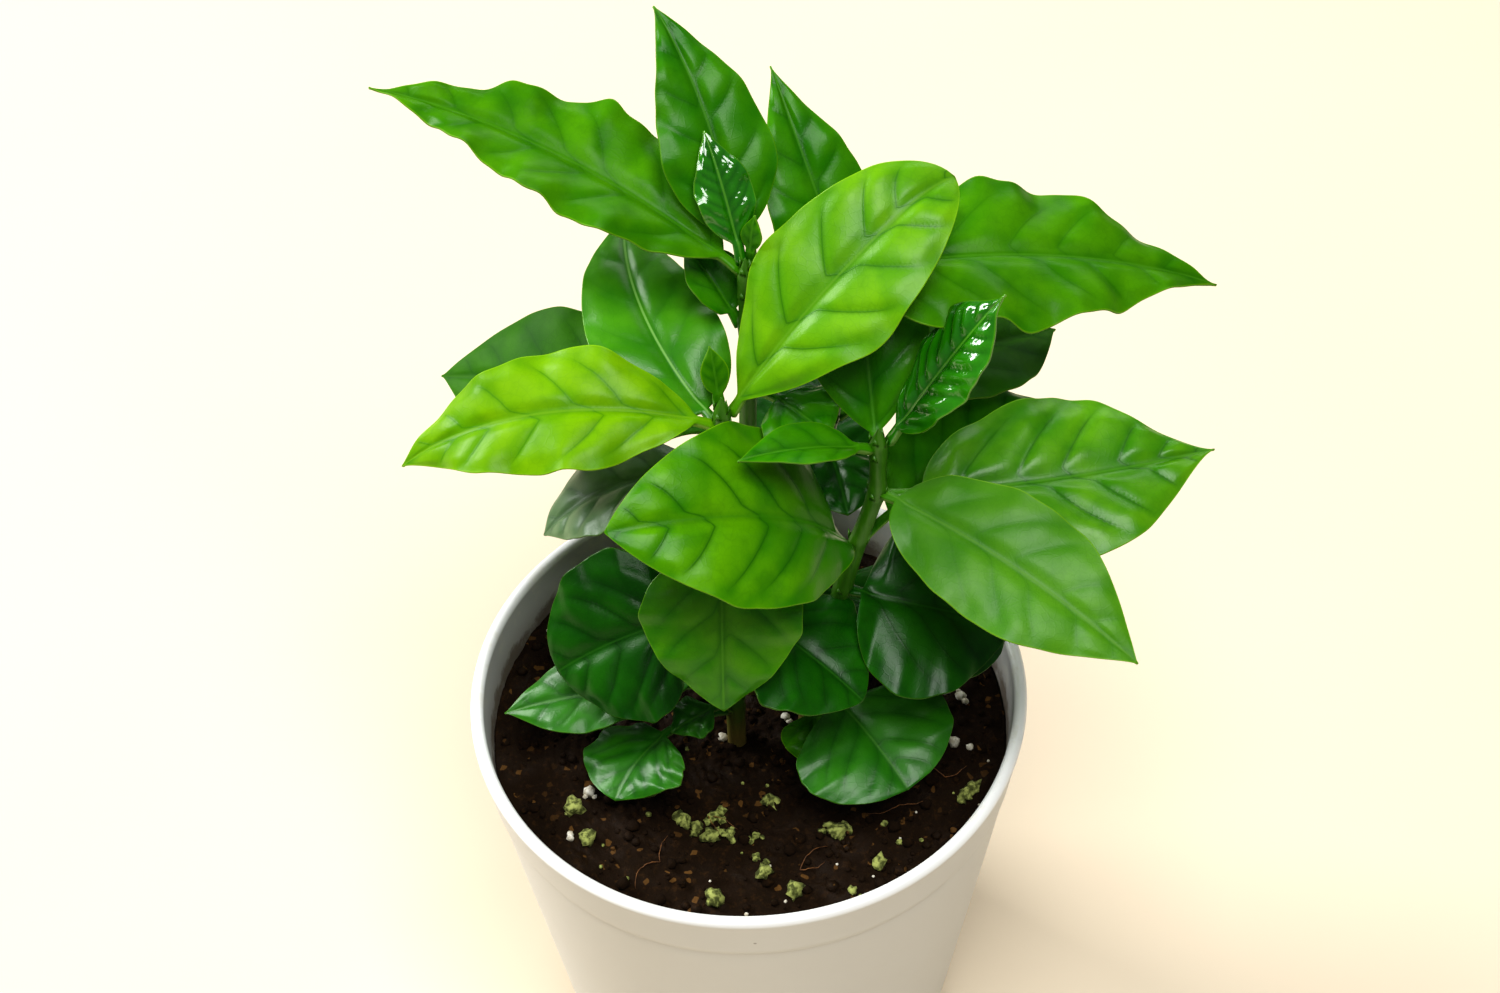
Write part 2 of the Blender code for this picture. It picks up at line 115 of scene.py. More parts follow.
class Tree:
    """The nodes of one new material with a Principled BSDF."""

    def __init__(self, name):
        self.material = bpy.data.materials.new(name)
        self.material.use_nodes = True
        self.nodes = self.material.node_tree.nodes
        self.links = self.material.node_tree.links
        self.shader = self.nodes["Principled BSDF"]

    def fill(self, node, inputs):
        for key, value in inputs.items():
            if isinstance(value, Value):
                self.links.new(value.socket, node.inputs[key])
            else:
                node.inputs[key].default_value = value

    def node(self, kind, settings=None, inputs=None, output=0):
        """Adds a node: its settings first, then its inputs, and gives the wanted output."""
        made = self.nodes.new(kind)
        for key, value in (settings or {}).items():
            setattr(made, key, value)
        self.fill(made, inputs or {})
        return Value(self, made.outputs[output])

    def mix(self, share, first, second):
        """A colour between first and second."""
        settings = {"data_type": "RGBA", "blend_type": "MIX", "clamp_factor": True}
        return self.node("ShaderNodeMix", settings, {0: share, 6: first, 7: second}, output=2)

    def place(self):
        """Where a point is on the object, in millimetres."""
        where = self.node("ShaderNodeTexCoord", output="Object")
        scaled = {"operation": "SCALE"}
        return self.node("ShaderNodeVectorMath", scaled, {0: where, "Scale": 1 / MM})

    def noise(self, place, size, detail=3.0, roughness=0.55):
        """Cloudy noise from 0 to 1 whose lumps are about size millimetres across."""
        inputs = {"Vector": place, "Scale": 1 / size, "Detail": detail, "Roughness": roughness}
        return self.node("ShaderNodeTexNoise", {}, inputs)

    def cells(self, place, size, feature="DISTANCE_TO_EDGE", output="Distance"):
        """Cells about size millimetres across: the distance to an edge or a centre, or a colour each."""
        inputs = {"Vector": place, "Scale": 1 / size}
        return self.node("ShaderNodeTexVoronoi", {"feature": feature}, inputs, output)

    def parts(self, vector):
        """The three numbers of a vector."""
        made = self.nodes.new("ShaderNodeSeparateXYZ")
        self.links.new(vector.socket, made.inputs[0])
        return [Value(self, made.outputs[k]) for k in range(3)]

    def bump(self, height, distance, strength):
        """Relief of a height that goes from 0 to 1, as deep as distance millimetres."""
        inputs = {"Height": height, "Distance": distance * MM, "Strength": strength}
        return self.node("ShaderNodeBump", {}, inputs)

    def finish(self, **sockets):
        """Sets the sockets of the Principled BSDF, with spaces in their names as underscores."""
        self.fill(self.shader, {key.replace("_", " "): value for key, value in sockets.items()})
        return self.material


def linear(value):
    """A screen's colour value from 0 to 255 as the share of light that it stands for."""
    share = value / 255
    return share / 12.92 if share <= 0.04045 else ((share + 0.055) / 1.055) ** 2.4


def colour(red, green, blue):
    return (linear(red), linear(green), linear(blue), 1.0)


print("a mid green in light:", [round(v, 3) for v in colour(70, 130, 20)])

# %% [markdown]
# ## Floor and light
# A studio picture of a plant needs a pale floor and large lamps that give soft edges. One big lamp stands
# behind on the left like a window, so that the puffed parts of glossy leaves mirror it. Another lights the
# front from above, a weak one behind on the right rims the leaves, and the pale world fills the shadows. A
# view look with more contrast gives the deep greens of a product photograph.

# %% Floor and light
FLOOR_SIZE = 6.0
WORLD_LIGHT = 0.16
LAMPS = {
    "window_lamp": dict(place=(-1.15, 0.62, 0.95), size=(0.65, 0.65), power=22),
    "back_lamp": dict(place=(0.30, 1.10, 0.80), size=(0.9, 0.35), power=3),
    "front_lamp": dict(place=(0.12, -0.45, 1.60), size=(0.8, 0.8), power=21),
}


def floor_material():
    tree = Tree("pale_floor")
    spread = tree.noise(tree.place(), 240, detail=2)
    tone = tree.mix(spread, colour(224, 208, 182), colour(232, 218, 194))
    return tree.finish(Base_Color=tone, Roughness=0.75)


bpy.ops.mesh.primitive_plane_add(size=FLOOR_SIZE)
floor = bpy.context.object
floor.name = "floor"
floor.data.materials.append(floor_material())

world = bpy.data.worlds.new("studio")
world.use_nodes = True
world.node_tree.nodes["Background"].inputs["Color"].default_value = colour(247, 248, 250)
world.node_tree.nodes["Background"].inputs["Strength"].default_value = WORLD_LIGHT
bpy.context.scene.world = world
bpy.context.scene.view_settings.view_transform = "Standard"
bpy.context.scene.view_settings.look = "Medium High Contrast"

AIM = Vector((0, 0, 0.13))
for name, lamp in LAMPS.items():
    light = bpy.data.lights.new(name, "AREA")
    light.shape = "RECTANGLE"
    light.size, light.size_y = lamp["size"]
    light.energy = lamp["power"]
    holder = bpy.data.objects.new(name, light)
    bpy.context.scene.collection.objects.link(holder)
    holder.location = lamp["place"]
    holder.rotation_euler = (AIM - holder.location).to_track_quat("-Z", "Y").to_euler()
print("lamps:", len(LAMPS))

# %% [markdown]
# ## How the shoots grow
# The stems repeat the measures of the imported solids, in millimetres and degrees, as points with a radius.
# So do the leaves, but for a few whose outline, width or turn is refined here. A leaf is described in the
# words that a grower would use. Its midrib has a heading and a rise at its middle, a sweep to the side, a
# droop and a hook at its tip. Its blade has a width, a belly where it is widest, a blunt foot, a point, a
# fold, a curl and a wave. Its margin has lobes. What isn't typical is given leaf by leaf, with its look,
# how puffed it is between its veins and how deep the groove over its midrib is.

# %% Stems and leaves as measures
STEMS = {
    "stem_left": [
        (-2.5, -3, 73, 1.9), (-2.5, -3, 100, 1.8), (-3.5, -1, 136, 1.6), (-2.5, 2, 171, 1.4),
        (-2.5, 2, 174, 0.9),
    ],
    "stem_right": [
        (11.3, 1, 73, 2.0), (11.3, 1, 86, 2.0), (14, 1, 105, 1.8), (20.5, 0, 137, 1.7),
        (24, 0, 151, 1.6), (24, 0, 163, 1.5), (24, 0, 167, 0.8),
    ],
    "stem_tall": [
        (1, 9.3, 73, 2.0), (1, 9.3, 86, 2.0), (0.5, 11, 120, 1.8), (2, 15, 158, 1.6),
        (2.4, 19, 186, 1.4), (2.4, 19, 190, 0.8),
    ],
    "stem_back": [
        (8, 12.5, 73, 2.0), (8, 12.5, 86, 2.0), (9, 15, 118, 1.8), (17, 22, 148, 1.6),
        (22.5, 26, 172, 1.3), (22.8, 26, 176, 0.8),
    ],
}

TYPICAL = {
    "stalk": 6, "sweep": 0, "droop": 30, "hook": 0, "roll": 0, "fold": 8, "curl": 0.12, "wave": 0.6,
    "waves": 3, "belly": 0.45, "point": 1.25, "blunt": 0.7, "quilt": 0.5, "groove": 0.5,
    "pairs": None, "lobe": 0.015, "lobes": 3.2, "look": "deep",
}


def leaf_row(stem, z, heading, rise, length, width, **special):
    """A leaf's measures, from its stem and the height of its node on. What isn't special is typical."""
    main = dict(stem="stem_" + stem, z=z, heading=heading, rise=rise, length=length, width=width)
    return {**TYPICAL, **main, **special}


LEAVES = {
    "leaf_top_left": leaf_row(
        "tall", 187, 152, 11, 73, 27, sweep=12, droop=25, stalk=3, fold=18, wave=1.3, waves=4.5, belly=0.35,
        point=1.3, blunt=0.85, lobe=0.045, lobes=4.5, look="middle",
    ),
    "leaf_top_back": leaf_row("tall", 185, 112, 42, 48, 20, sweep=22, belly=0.35, point=1.2),
    "leaf_young_tall": leaf_row("tall", 188, 113, 52, 23, 10.5, stalk=3, pairs=9, lobe=0, look="young"),
    "leaf_bud_tall": leaf_row("tall", 188, 60, 78, 9, 4, stalk=2, quilt=0.05, wave=0.05, groove=0.15, lobe=0),
    "leaf_small_back": leaf_row(
        "tall", 175, 133, 35, 16, 12, stalk=2, fold=25, wave=0.1, belly=0.5, blunt=0.5, quilt=0.1,
    ),
    "leaf_top_right": leaf_row(
        "tall", 182, 6, -8, 84, 31, droop=46, roll=8, wave=1.4, waves=4.5, belly=0.5, point=1.5, lobe=0.04,
        lobes=4.5, look="middle",
    ),
    "leaf_back_upright": leaf_row(
        "back", 170, 115, 44, 44, 20, sweep=-10, stalk=3, belly=0.35, point=1.4, blunt=0.45,
    ),
    "leaf_bright_upper": leaf_row(
        "left", 170, 33, 33, 57, 27, sweep=12, droop=42, hook=30, roll=18, stalk=1.5, belly=0.5, point=0.65,
        blunt=1.1, quilt=0.6, groove=0.2, lobe=0.03, lobes=2.1, look="hero",
    ),
    "leaf_bright_left": leaf_row(
        "left", 168, 178, -11, 59, 23, sweep=-8, droop=75, roll=-20, stalk=2.5, wave=1.2, point=1.2,
        blunt=0.75, lobe=0.05, lobes=2.4, look="bright",
    ),
    "leaf_pale_rib": leaf_row(
        "left", 167, 110, 10, 46, 23, sweep=-45, roll=-6, stalk=2.5, belly=0.34, point=0.75, blunt=0.38,
        quilt=0.3, lobe=0, look="ribbed",
    ),
    "leaf_bud_left": leaf_row(
        "left", 171, 104, 60, 10, 5, stalk=1.5, wave=0.05, blunt=0.5, quilt=0.05, groove=0.2, lobe=0,
        look="middle",
    ),
    "leaf_shaded_middle": leaf_row("tall", 163, -48, 4, 19, 17, droop=36),
    "leaf_front_low": leaf_row(
        "left", 148, -93, -56, 37, 29, droop=55, belly=0.35, point=1.1, blunt=0.5, quilt=0.35, look="leafy",
    ),
    "leaf_dark_left": leaf_row(
        "left", 121, 184, -24, 33, 33, droop=35, roll=-40, belly=0.4, point=0.6, blunt=0.5, quilt=0.6,
        look="dark",
    ),
    "leaf_glossy_low": leaf_row(
        "left", 101, 181, -8, 42, 16, roll=-10, belly=0.6, point=1.3, blunt=0.75, quilt=0.35, look="wet",
    ),
    "leaf_low_left": leaf_row(
        "left", 94, -138, -5, 29, 24, sweep=52, roll=18, stalk=13, belly=0.5, point=0.8, blunt=0.5, quilt=0.3,
        look="wet",
    ),
    "leaf_glossy_young": leaf_row(
        "right", 164, 10, 58, 36, 16.5, droop=10, roll=5, stalk=3, fold=2, belly=0.6, point=1.6, blunt=0.5,
        pairs=9, quilt=0.85, lobe=0, look="young",
    ),
    "leaf_young_small": leaf_row(
        "right", 163, 200, 16, 25, 10.5, stalk=2, fold=20, wave=0.15, quilt=0.15, lobe=0,
    ),
    "leaf_upright_right": leaf_row("right", 160, 96, 40, 39, 24, stalk=2, belly=0.6, blunt=0.9),
    "leaf_right": leaf_row(
        "right", 150, 10, -3, 60, 33, sweep=20, droop=8, roll=12, wave=0.8, belly=0.5, point=1.5, blunt=0.5,
        quilt=0.9, look="glossy",
    ),
    "leaf_lower_right": leaf_row(
        "right", 151, -37, -12, 53, 25, roll=18, stalk=2, belly=0.5, point=1.15, blunt=0.45, quilt=0.35,
        look="pale",
    ),
    "leaf_front": leaf_row(
        "right", 138, -155, 30, 57, 33, sweep=-34, droop=70, roll=-33, stalk=2, belly=0.5, point=0.9,
        blunt=0.8, look="front",
    ),
    "leaf_back_right": leaf_row("right", 138, 42, -8, 54, 28, roll=15),
    "leaf_back_left": leaf_row(
        "tall", 148, 152, -10, 64, 31, roll=-25, belly=0.6, blunt=1.1, quilt=0.3, look="dull",
    ),
    "leaf_grey_left": leaf_row(
        "tall", 138, 172, -28, 44, 20, sweep=40, droop=50, belly=0.6, point=1.1, blunt=0.8, look="grey",
    ),
    "leaf_inner": leaf_row("back", 143, -80, -4, 17, 16, stalk=2, point=0.8, look="dark"),
    "leaf_dark_right": leaf_row(
        "right", 124, -4, -17, 31, 35, sweep=30, roll=26, stalk=1.5, belly=0.4, point=1.0, blunt=0.45,
        quilt=0.12, look="dark",
    ),
    "leaf_far_right": leaf_row("back", 146, 30, -6, 49, 24, belly=0.6, quilt=0.3, look="dull"),
    "leaf_back_high": leaf_row("back", 160, 70, 0, 46, 24),
    "leaf_back_mid": leaf_row("back", 126, 80, -5, 45, 26, look="dark"),
    "leaf_back_low": leaf_row("tall", 110, 118, -8, 46, 26, look="dark"),
    "leaf_dark_centre": leaf_row(
        "left", 124, -36, -18, 29, 28, belly=0.4, point=0.8, quilt=0.12, look="dark",
    ),
    "leaf_low_right_small": leaf_row(
        "right", 98, -95, -22, 17, 12.5, point=1.2, blunt=0.9, quilt=0.3, look="middle",
    ),
    "leaf_low_right": leaf_row(
        "right", 97, -58, -4, 28, 32, roll=6, belly=0.5, point=0.5, blunt=0.55, quilt=0.3, look="wet",
    ),
    "leaf_low_back_right": leaf_row(
        "back", 109, -16, -8, 40, 29, sweep=15, belly=0.6, point=0.6, look="dark",
    ),
    "leaf_low_centre": leaf_row("left", 97, -150, -6, 12, 10, stalk=3, quilt=0.2, look="wet"),
    "leaf_low_back": leaf_row("tall", 96, 100, -5, 30, 26, look="dark"),
}
print("leaves:", len(LEAVES), "stems:", len(STEMS))

# %% [markdown]
# ## The midrib
# A leaf is laid out along its midrib. Walking along it in small steps, with the heading and the slope known
# at each share of the length, gives a smooth line in space. NumPy arrays do all steps at once.

# %% The midrib
MIDRIB_STEPS = 60
STALK_GAP = 0.35
STALK_LEAN = 0.3
STALK_THICKNESS = 1.5


def on_stem(name, height):
    """The point of a stem's axis at a height, and its radius there."""
    points = np.array(STEMS[name], float)
    return np.array([np.interp(height, points[:, 2], points[:, k]) for k in range(4)])


def heading_and_slope(share, leaf):
    heading = leaf["heading"] + leaf["sweep"] * (share - 0.5)
    hook = leaf["hook"] * np.clip(share - 0.8, 0, None) / 0.2
    slope = leaf["rise"] + leaf["droop"] * (0.5 - share) - hook
    return np.radians(heading), np.radians(slope)


def midrib(leaf):
    """Points along the midrib, from the stem to the tip."""
    share = np.linspace(0, 1, MIDRIB_STEPS + 1)
    heading, slope = heading_and_slope(share, leaf)
    way = np.stack([np.cos(slope) * np.cos(heading), np.cos(slope) * np.sin(heading), np.sin(slope)], 1)
    *axis, radius = on_stem(leaf["stem"], leaf["z"])
    lean = max(-STALK_THICKNESS * math.sin(slope[0]), STALK_LEAN * math.sin(slope[0]))
    out = np.array([math.cos(heading[0]), math.sin(heading[0]), 0])
    start = np.array(axis) + out * (radius + STALK_GAP + lean)
    walk = np.cumsum(way[:-1], 0) * leaf["length"] / MIDRIB_STEPS
    return share, np.vstack([start, start + walk])


line = midrib(LEAVES["leaf_front"])[1]
print("leaf_front runs from", line[0].round(1), "to", line[-1].round(1))

# %% [markdown]
# ## The outline
# Across each point of the midrib lies a row of points, from the right margin to the left. How wide the row
# is follows from how far along the blade it lies: a coffee leaf widens from its stalk to its belly and ends
# in a drip tip. A small part of the margin swings in and out, so that no two leaves have the same edge.

# %% The outline
TIP_HALF_WIDTH = 0.12
STALK_HALF_WIDTH = 0.8
STALK_FLARE, FLARE_LENGTH = 0.35, 1.5


def smooth(start, end, value):
    """0 before start, 1 after end, and a smooth rise between."""
    share = np.clip((value - start) / (end - start), 0, 1)
    return share * share * (3 - 2 * share)


def half_width_share(along, leaf):
    """How wide the blade is at each share of its length, with 1 at its belly."""
    belly = leaf["belly"]
    before = np.clip(1 - ((belly - along) / belly) ** 2, 0, 1) ** leaf["blunt"]
    after = np.clip(1 - (np.clip(along - belly, 0, None) / (1 - belly)) ** 1.8, 0, 1) ** leaf["point"]
    return np.where(along < belly, before, after)


def lobed_half_width(place, along, across, leaf, seed):
    """Half the leaf's width in millimetres, never less than that of its stalk or tip."""
    side_turn = np.where(across > 0, seed, 2.6 * seed + 1.3)
    bulge = np.sin(math.tau * leaf["lobes"] * along + side_turn)
    bulge = bulge + 0.5 * np.sin(math.tau * 1.9 * leaf["lobes"] * along + 2 * side_turn)
    bulge = 1 + leaf["lobe"] * np.abs(across) ** 2 * bulge * np.sin(np.pi * along) ** 0.5
    flare = 1 + STALK_FLARE * np.exp(-place[:, None] * leaf["length"] / FLARE_LENGTH)
    stalk = STALK_HALF_WIDTH * flare * (1 - 0.3 * smooth(0, 0.3, along))
    least = np.where(along > 0.5, TIP_HALF_WIDTH, stalk)
    return np.maximum(leaf["width"] / 2 * half_width_share(along, leaf) * bulge, least)


print("leaf_front at a tenth of its blade:", half_width_share(np.array(0.1), LEAVES["leaf_front"]).round(2))

# %% [markdown]
# ## Side veins
# The side veins of a coffee leaf come in pairs, and here a leaf has two pairs and one more for each 15 mm
# of its length. They could be drawn as curves, but one number that grows along the blade and is whole on
# each vein serves the relief and the paint alike. It leans with the distance from the midrib, which bends
# the veins towards the tip.

# %% Side veins
VEIN_SLANT, VEIN_BEND, SIDES_APART = 0.72, 0.3, 0.28


def vein_pairs(leaf):
    return leaf["pairs"] or round(2 + leaf["length"] / 15)


def vein_phase(along, across, half_width, leaf, seed):
    """A number that is whole on each side vein. The left side's veins start a little nearer to the stalk."""
    out = np.abs(across)
    forward = out * half_width * (VEIN_SLANT + VEIN_BEND * out**2) / (leaf["length"] - leaf["stalk"])
    apart = SIDES_APART * np.sign(across) * smooth(0, 0.12, out)
    phase = vein_pairs(leaf) * (along - forward) + apart
    return phase + 0.10 * np.sin(2.3 * phase + seed) + 0.05 * np.sin(5.1 * phase + 2.2 * out + 3 * seed)


print("leaf_front's pairs of side veins:", vein_pairs(LEAVES["leaf_front"]))

# %% [markdown]
# ## The blade
# The fold at the midrib, the waves of the margin and the puffed tissue between the side veins are formulas
# of two numbers: how far along the blade and how far across. Blender's Displace modifier could do the
# relief from a texture, but a formula keeps the grooves on the same veins that the material paints. The
# lower face follows the upper one at the blade's thickness, with a thick midrib and thin side ribs.

# %% The blade
ROW_SPACING, LEAST_ROWS, STALK_ROWS, COLUMNS = 0.62, 24, 9, 44
BLADE_THICKNESS = 0.34
STALK_ROOT, STALK_CROWN = 0.9, 0.35
TWIST_IN = 0.12
RIDGE_HEIGHT, RIDGE_WIDTH, GROOVE_WIDTH = 0.16, 0.26, 1.5
RIB_WIDTH, SIDE_RIB_HEIGHT, SIDE_RIB_SHARE = 0.7, 0.16, 0.16


def columns_across():
    """A row's places from the right margin, -1, to the left, 1, denser at the midrib and the margins."""
    even = np.linspace(-1, 1, COLUMNS - 1)
    across = np.sign(even) * np.abs(even) ** 1.3
    right, left = across[:1], across[-1:]
    return np.concatenate([right, right * 0.985, across[1:-1], left * 0.985, left])[None, :]


def blade_axes(heading, slope, roll):
    """Unit vectors to the leaf's left and up from its face."""
    level = np.stack([-np.sin(heading), np.cos(heading), np.zeros_like(heading)], -1)
    upright = [-np.sin(slope) * np.cos(heading), -np.sin(slope) * np.sin(heading), np.cos(slope)]
    upright = np.stack(upright, -1)
    to_left = level * np.cos(roll)[..., None] + upright * np.sin(roll)[..., None]
    return to_left, upright * np.cos(roll)[..., None] - level * np.sin(roll)[..., None]


def margin_wave(along, across, leaf, seed):
    """How far the margin waves up and down, and a finer ripple."""
    out = np.abs(across)
    fade = np.sin(np.pi * along) ** 0.6
    phase = np.where(across > 0, 0.6, 2.4)
    wave = leaf["wave"] * out**1.5 * np.sin(math.tau * leaf["waves"] * along + phase) * fade
    ripple = 0.22 * leaf["wave"] * out**2 * np.sin(math.tau * (2.7 * leaf["waves"] * along + seed)) * fade
    return wave, ripple


def blade(leaf, seed):
    """The grid of points of a leaf's two faces, and the numbers that its material reads at each point."""
    share, line = midrib(leaf)
    stalk = leaf["stalk"] / leaf["length"]
    rows = max(LEAST_ROWS, round((leaf["length"] - leaf["stalk"]) / ROW_SPACING))
    place = np.concatenate([np.linspace(0, stalk, STALK_ROWS)[:-1], np.linspace(stalk, 1, rows)])
    middle = np.stack([np.interp(place, share, line[:, k]) for k in range(3)], 1)[:, None]
    into_stem = middle[0] - middle[1]
    middle[0] += STALK_ROOT * into_stem / np.linalg.norm(into_stem)
    heading, slope = (angle[:, None] for angle in heading_and_slope(place, leaf))
    along = np.clip((place - stalk) / (1 - stalk), 0, 1)[:, None]
    into_blade = np.clip(along / TWIST_IN, 0, 1)
    fold = math.radians(leaf["fold"]) * into_blade
    to_left, up = blade_axes(heading, slope, math.radians(leaf["roll"]) * into_blade)

    across = columns_across()
    out = np.abs(across)
    half_width = lobed_half_width(place, along, across, leaf, seed)
    veins = vein_phase(along, across, half_width, leaf, seed)
    inside = smooth(0.02, 0.24, out) * (1 - smooth(0.66, 1.0, out)) * smooth(0.02, 0.12, along)
    uphill = (veins % 1) ** 0.82
    pillow = leaf["quilt"] * np.sin(np.pi * uphill) ** 0.75 * inside * (1 - smooth(0.82, 1.0, along))
    off_midrib = out * half_width
    taper = smooth(0.0, 0.06, along) * (1 - 0.8 * along)
    ridge = RIDGE_HEIGHT * np.exp(-((off_midrib / RIDGE_WIDTH) ** 2))
    groove = taper * (ridge - leaf["groove"] * np.exp(-((off_midrib / GROOVE_WIDTH) ** 2)))

    wave, ripple = margin_wave(along, across, leaf, seed)
    lift = half_width * out * (np.sin(fold) - leaf["curl"] * out * into_blade) + wave + ripple
    side = to_left * (half_width * across * np.cos(fold))[..., None]
    round_top = STALK_CROWN * (1 - into_blade) * np.sqrt(1 - 0.98 * out**2)
    upper = middle + side + up * (lift + pillow + groove + round_top)[..., None]

    rib = (STALK_THICKNESS - BLADE_THICKNESS) * (1 - 0.85 * place[:, None])
    rib = rib * np.exp(-((off_midrib / RIB_WIDTH) ** 2))
    off_vein = np.abs((veins + 0.5) % 1 - 0.5) * 2
    side_rib = SIDE_RIB_HEIGHT * np.clip(1 - off_vein / SIDE_RIB_SHARE, 0, 1) * inside
    stalk_depth = STALK_THICKNESS * np.sqrt(1 - 0.96 * out**2)
    depth = BLADE_THICKNESS + rib + side_rib + (stalk_depth - BLADE_THICKNESS - rib) * (1 - into_blade)
    lower = middle + side + up * (lift + pillow + groove * (1 - into_blade) - depth)[..., None]
    spread = [np.broadcast_to(a, veins.shape) for a in (across, along, veins, half_width)]
    return upper, lower, spread


upper = blade(LEAVES["leaf_front"], 0)[0]
print("leaf_front's grid:", upper.shape[:2], "rows and columns on each face")

# %% [markdown]
# ## From grid to mesh
# Two grids, one above the other, close into one solid when a strip of quads joins their edges. The numbers
# that the material needs travel on the mesh as two vector attributes: blade holds across, along and the
# vein number, and sheet holds the half width in millimetres, 1 on the lower face, and the distance between
# veins.

# %% From grid to mesh
def grid_faces(rows, columns):
    """Quads that close two grids of points into one solid. The upper grid's points come first."""
    index = np.arange(rows * columns).reshape(rows, columns)
    below = index + rows * columns
    top = np.stack([index[:-1, :-1], index[1:, :-1], index[1:, 1:], index[:-1, 1:]], -1).reshape(-1, 4)
    bottom = np.stack([below[:-1, :-1], below[:-1, 1:], below[1:, 1:], below[1:, :-1]], -1).reshape(-1, 4)
    right = np.stack([index[:-1, 0], below[:-1, 0], below[1:, 0], index[1:, 0]], -1)
    left = np.stack([index[:-1, -1], index[1:, -1], below[1:, -1], below[:-1, -1]], -1)
    start = np.stack([index[0, :-1], index[0, 1:], below[0, 1:], below[0, :-1]], -1)
    end = np.stack([index[-1, :-1], below[-1, :-1], below[-1, 1:], index[-1, 1:]], -1)
    return np.vstack([top, bottom, right, left, start, end])


def new_mesh(name, points, faces, material):
    """A smooth mesh object in metres from points in millimetres."""
    mesh = bpy.data.meshes.new(name)
    faces = faces.tolist() if isinstance(faces, np.ndarray) else faces
    mesh.from_pydata((np.asarray(points) * MM).tolist(), [], faces)
    mesh.shade_smooth()
    mesh.materials.append(material)
    made = bpy.data.objects.new(name, mesh)
    bpy.context.scene.collection.objects.link(made)
    return made


def add_vectors(mesh, name, values):
    attribute = mesh.attributes.new(name, "FLOAT_VECTOR", "POINT")
    attribute.data.foreach_set("vector", np.ascontiguousarray(values, np.float32).ravel())


def make_leaf(name, leaf, seed, material):
    """A veined leaf that stands for the CAD node of that name."""
    upper, lower, (across, along, veins, half_width) = blade(leaf, seed)
    rows, columns = across.shape
    points = np.vstack([upper.reshape(-1, 3), lower.reshape(-1, 3)])
    made = new_mesh(name + "_blade", points, grid_faces(rows, columns), material)
    spacing = np.full_like(half_width, (leaf["length"] - leaf["stalk"]) / vein_pairs(leaf))
    numbers = np.stack([across, along, veins], -1).reshape(-1, 3)
    add_vectors(made.data, "blade", np.vstack([numbers, numbers]))
    sheet = [np.stack([half_width, np.full_like(half_width, under), spacing], -1) for under in (0.0, 1.0)]
    add_vectors(made.data, "sheet", np.vstack([s.reshape(-1, 3) for s in sheet]))
    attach(made, "root")
    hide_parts(name)
    return made


print("quads on leaf_front:", len(grid_faces(*upper.shape[:2])))

# %% [markdown]
# ## Leaf finish
# A coffee leaf is a waxy sheet. Its upper face is lit by a soft sheen, the side veins lie in narrow valleys
# with painted shade, the puffed tissue between them gets painted light, and the midrib is a pale line between
# two troughs of painted shade. The lower face is paler and duller. All of it comes from the blade and sheet
# attributes, so the pattern grows with the leaf, and cloudy noise breaks it up. Each look below is a set of
# colours and strengths for leaves of one age and place: the young ones mirror most, the grey one holds a
# painted sheen, the dark one is partly the deep green of the low leaves behind and partly painted shade, and
# some get painted shade towards their stalk, where other leaves shade them.

# %% Leaf finish
def leaf_look(tissue, light, valley, rib, vein=0.4, ribbing=0.5, edge=0.3, gloss=0.34, shine=0.24, foot=0):
    """Colours of the tissue, of its lighter mottling and the painted light on its puffed parts, of its
    valleys, used for dark patches and painted shade, and of its midrib, and how strong the rest is. vein is
    how strong the vein lines and their painted shade are, edge the pale margin, gloss the roughness, shine
    the mirrored light, foot the painted shade at the stalk."""
    colours = dict(tissue=tissue, light=light, valley=valley, rib=rib)
    return dict(colours, vein=vein, ribbing=ribbing, edge=edge, gloss=gloss, shine=shine, foot=foot)


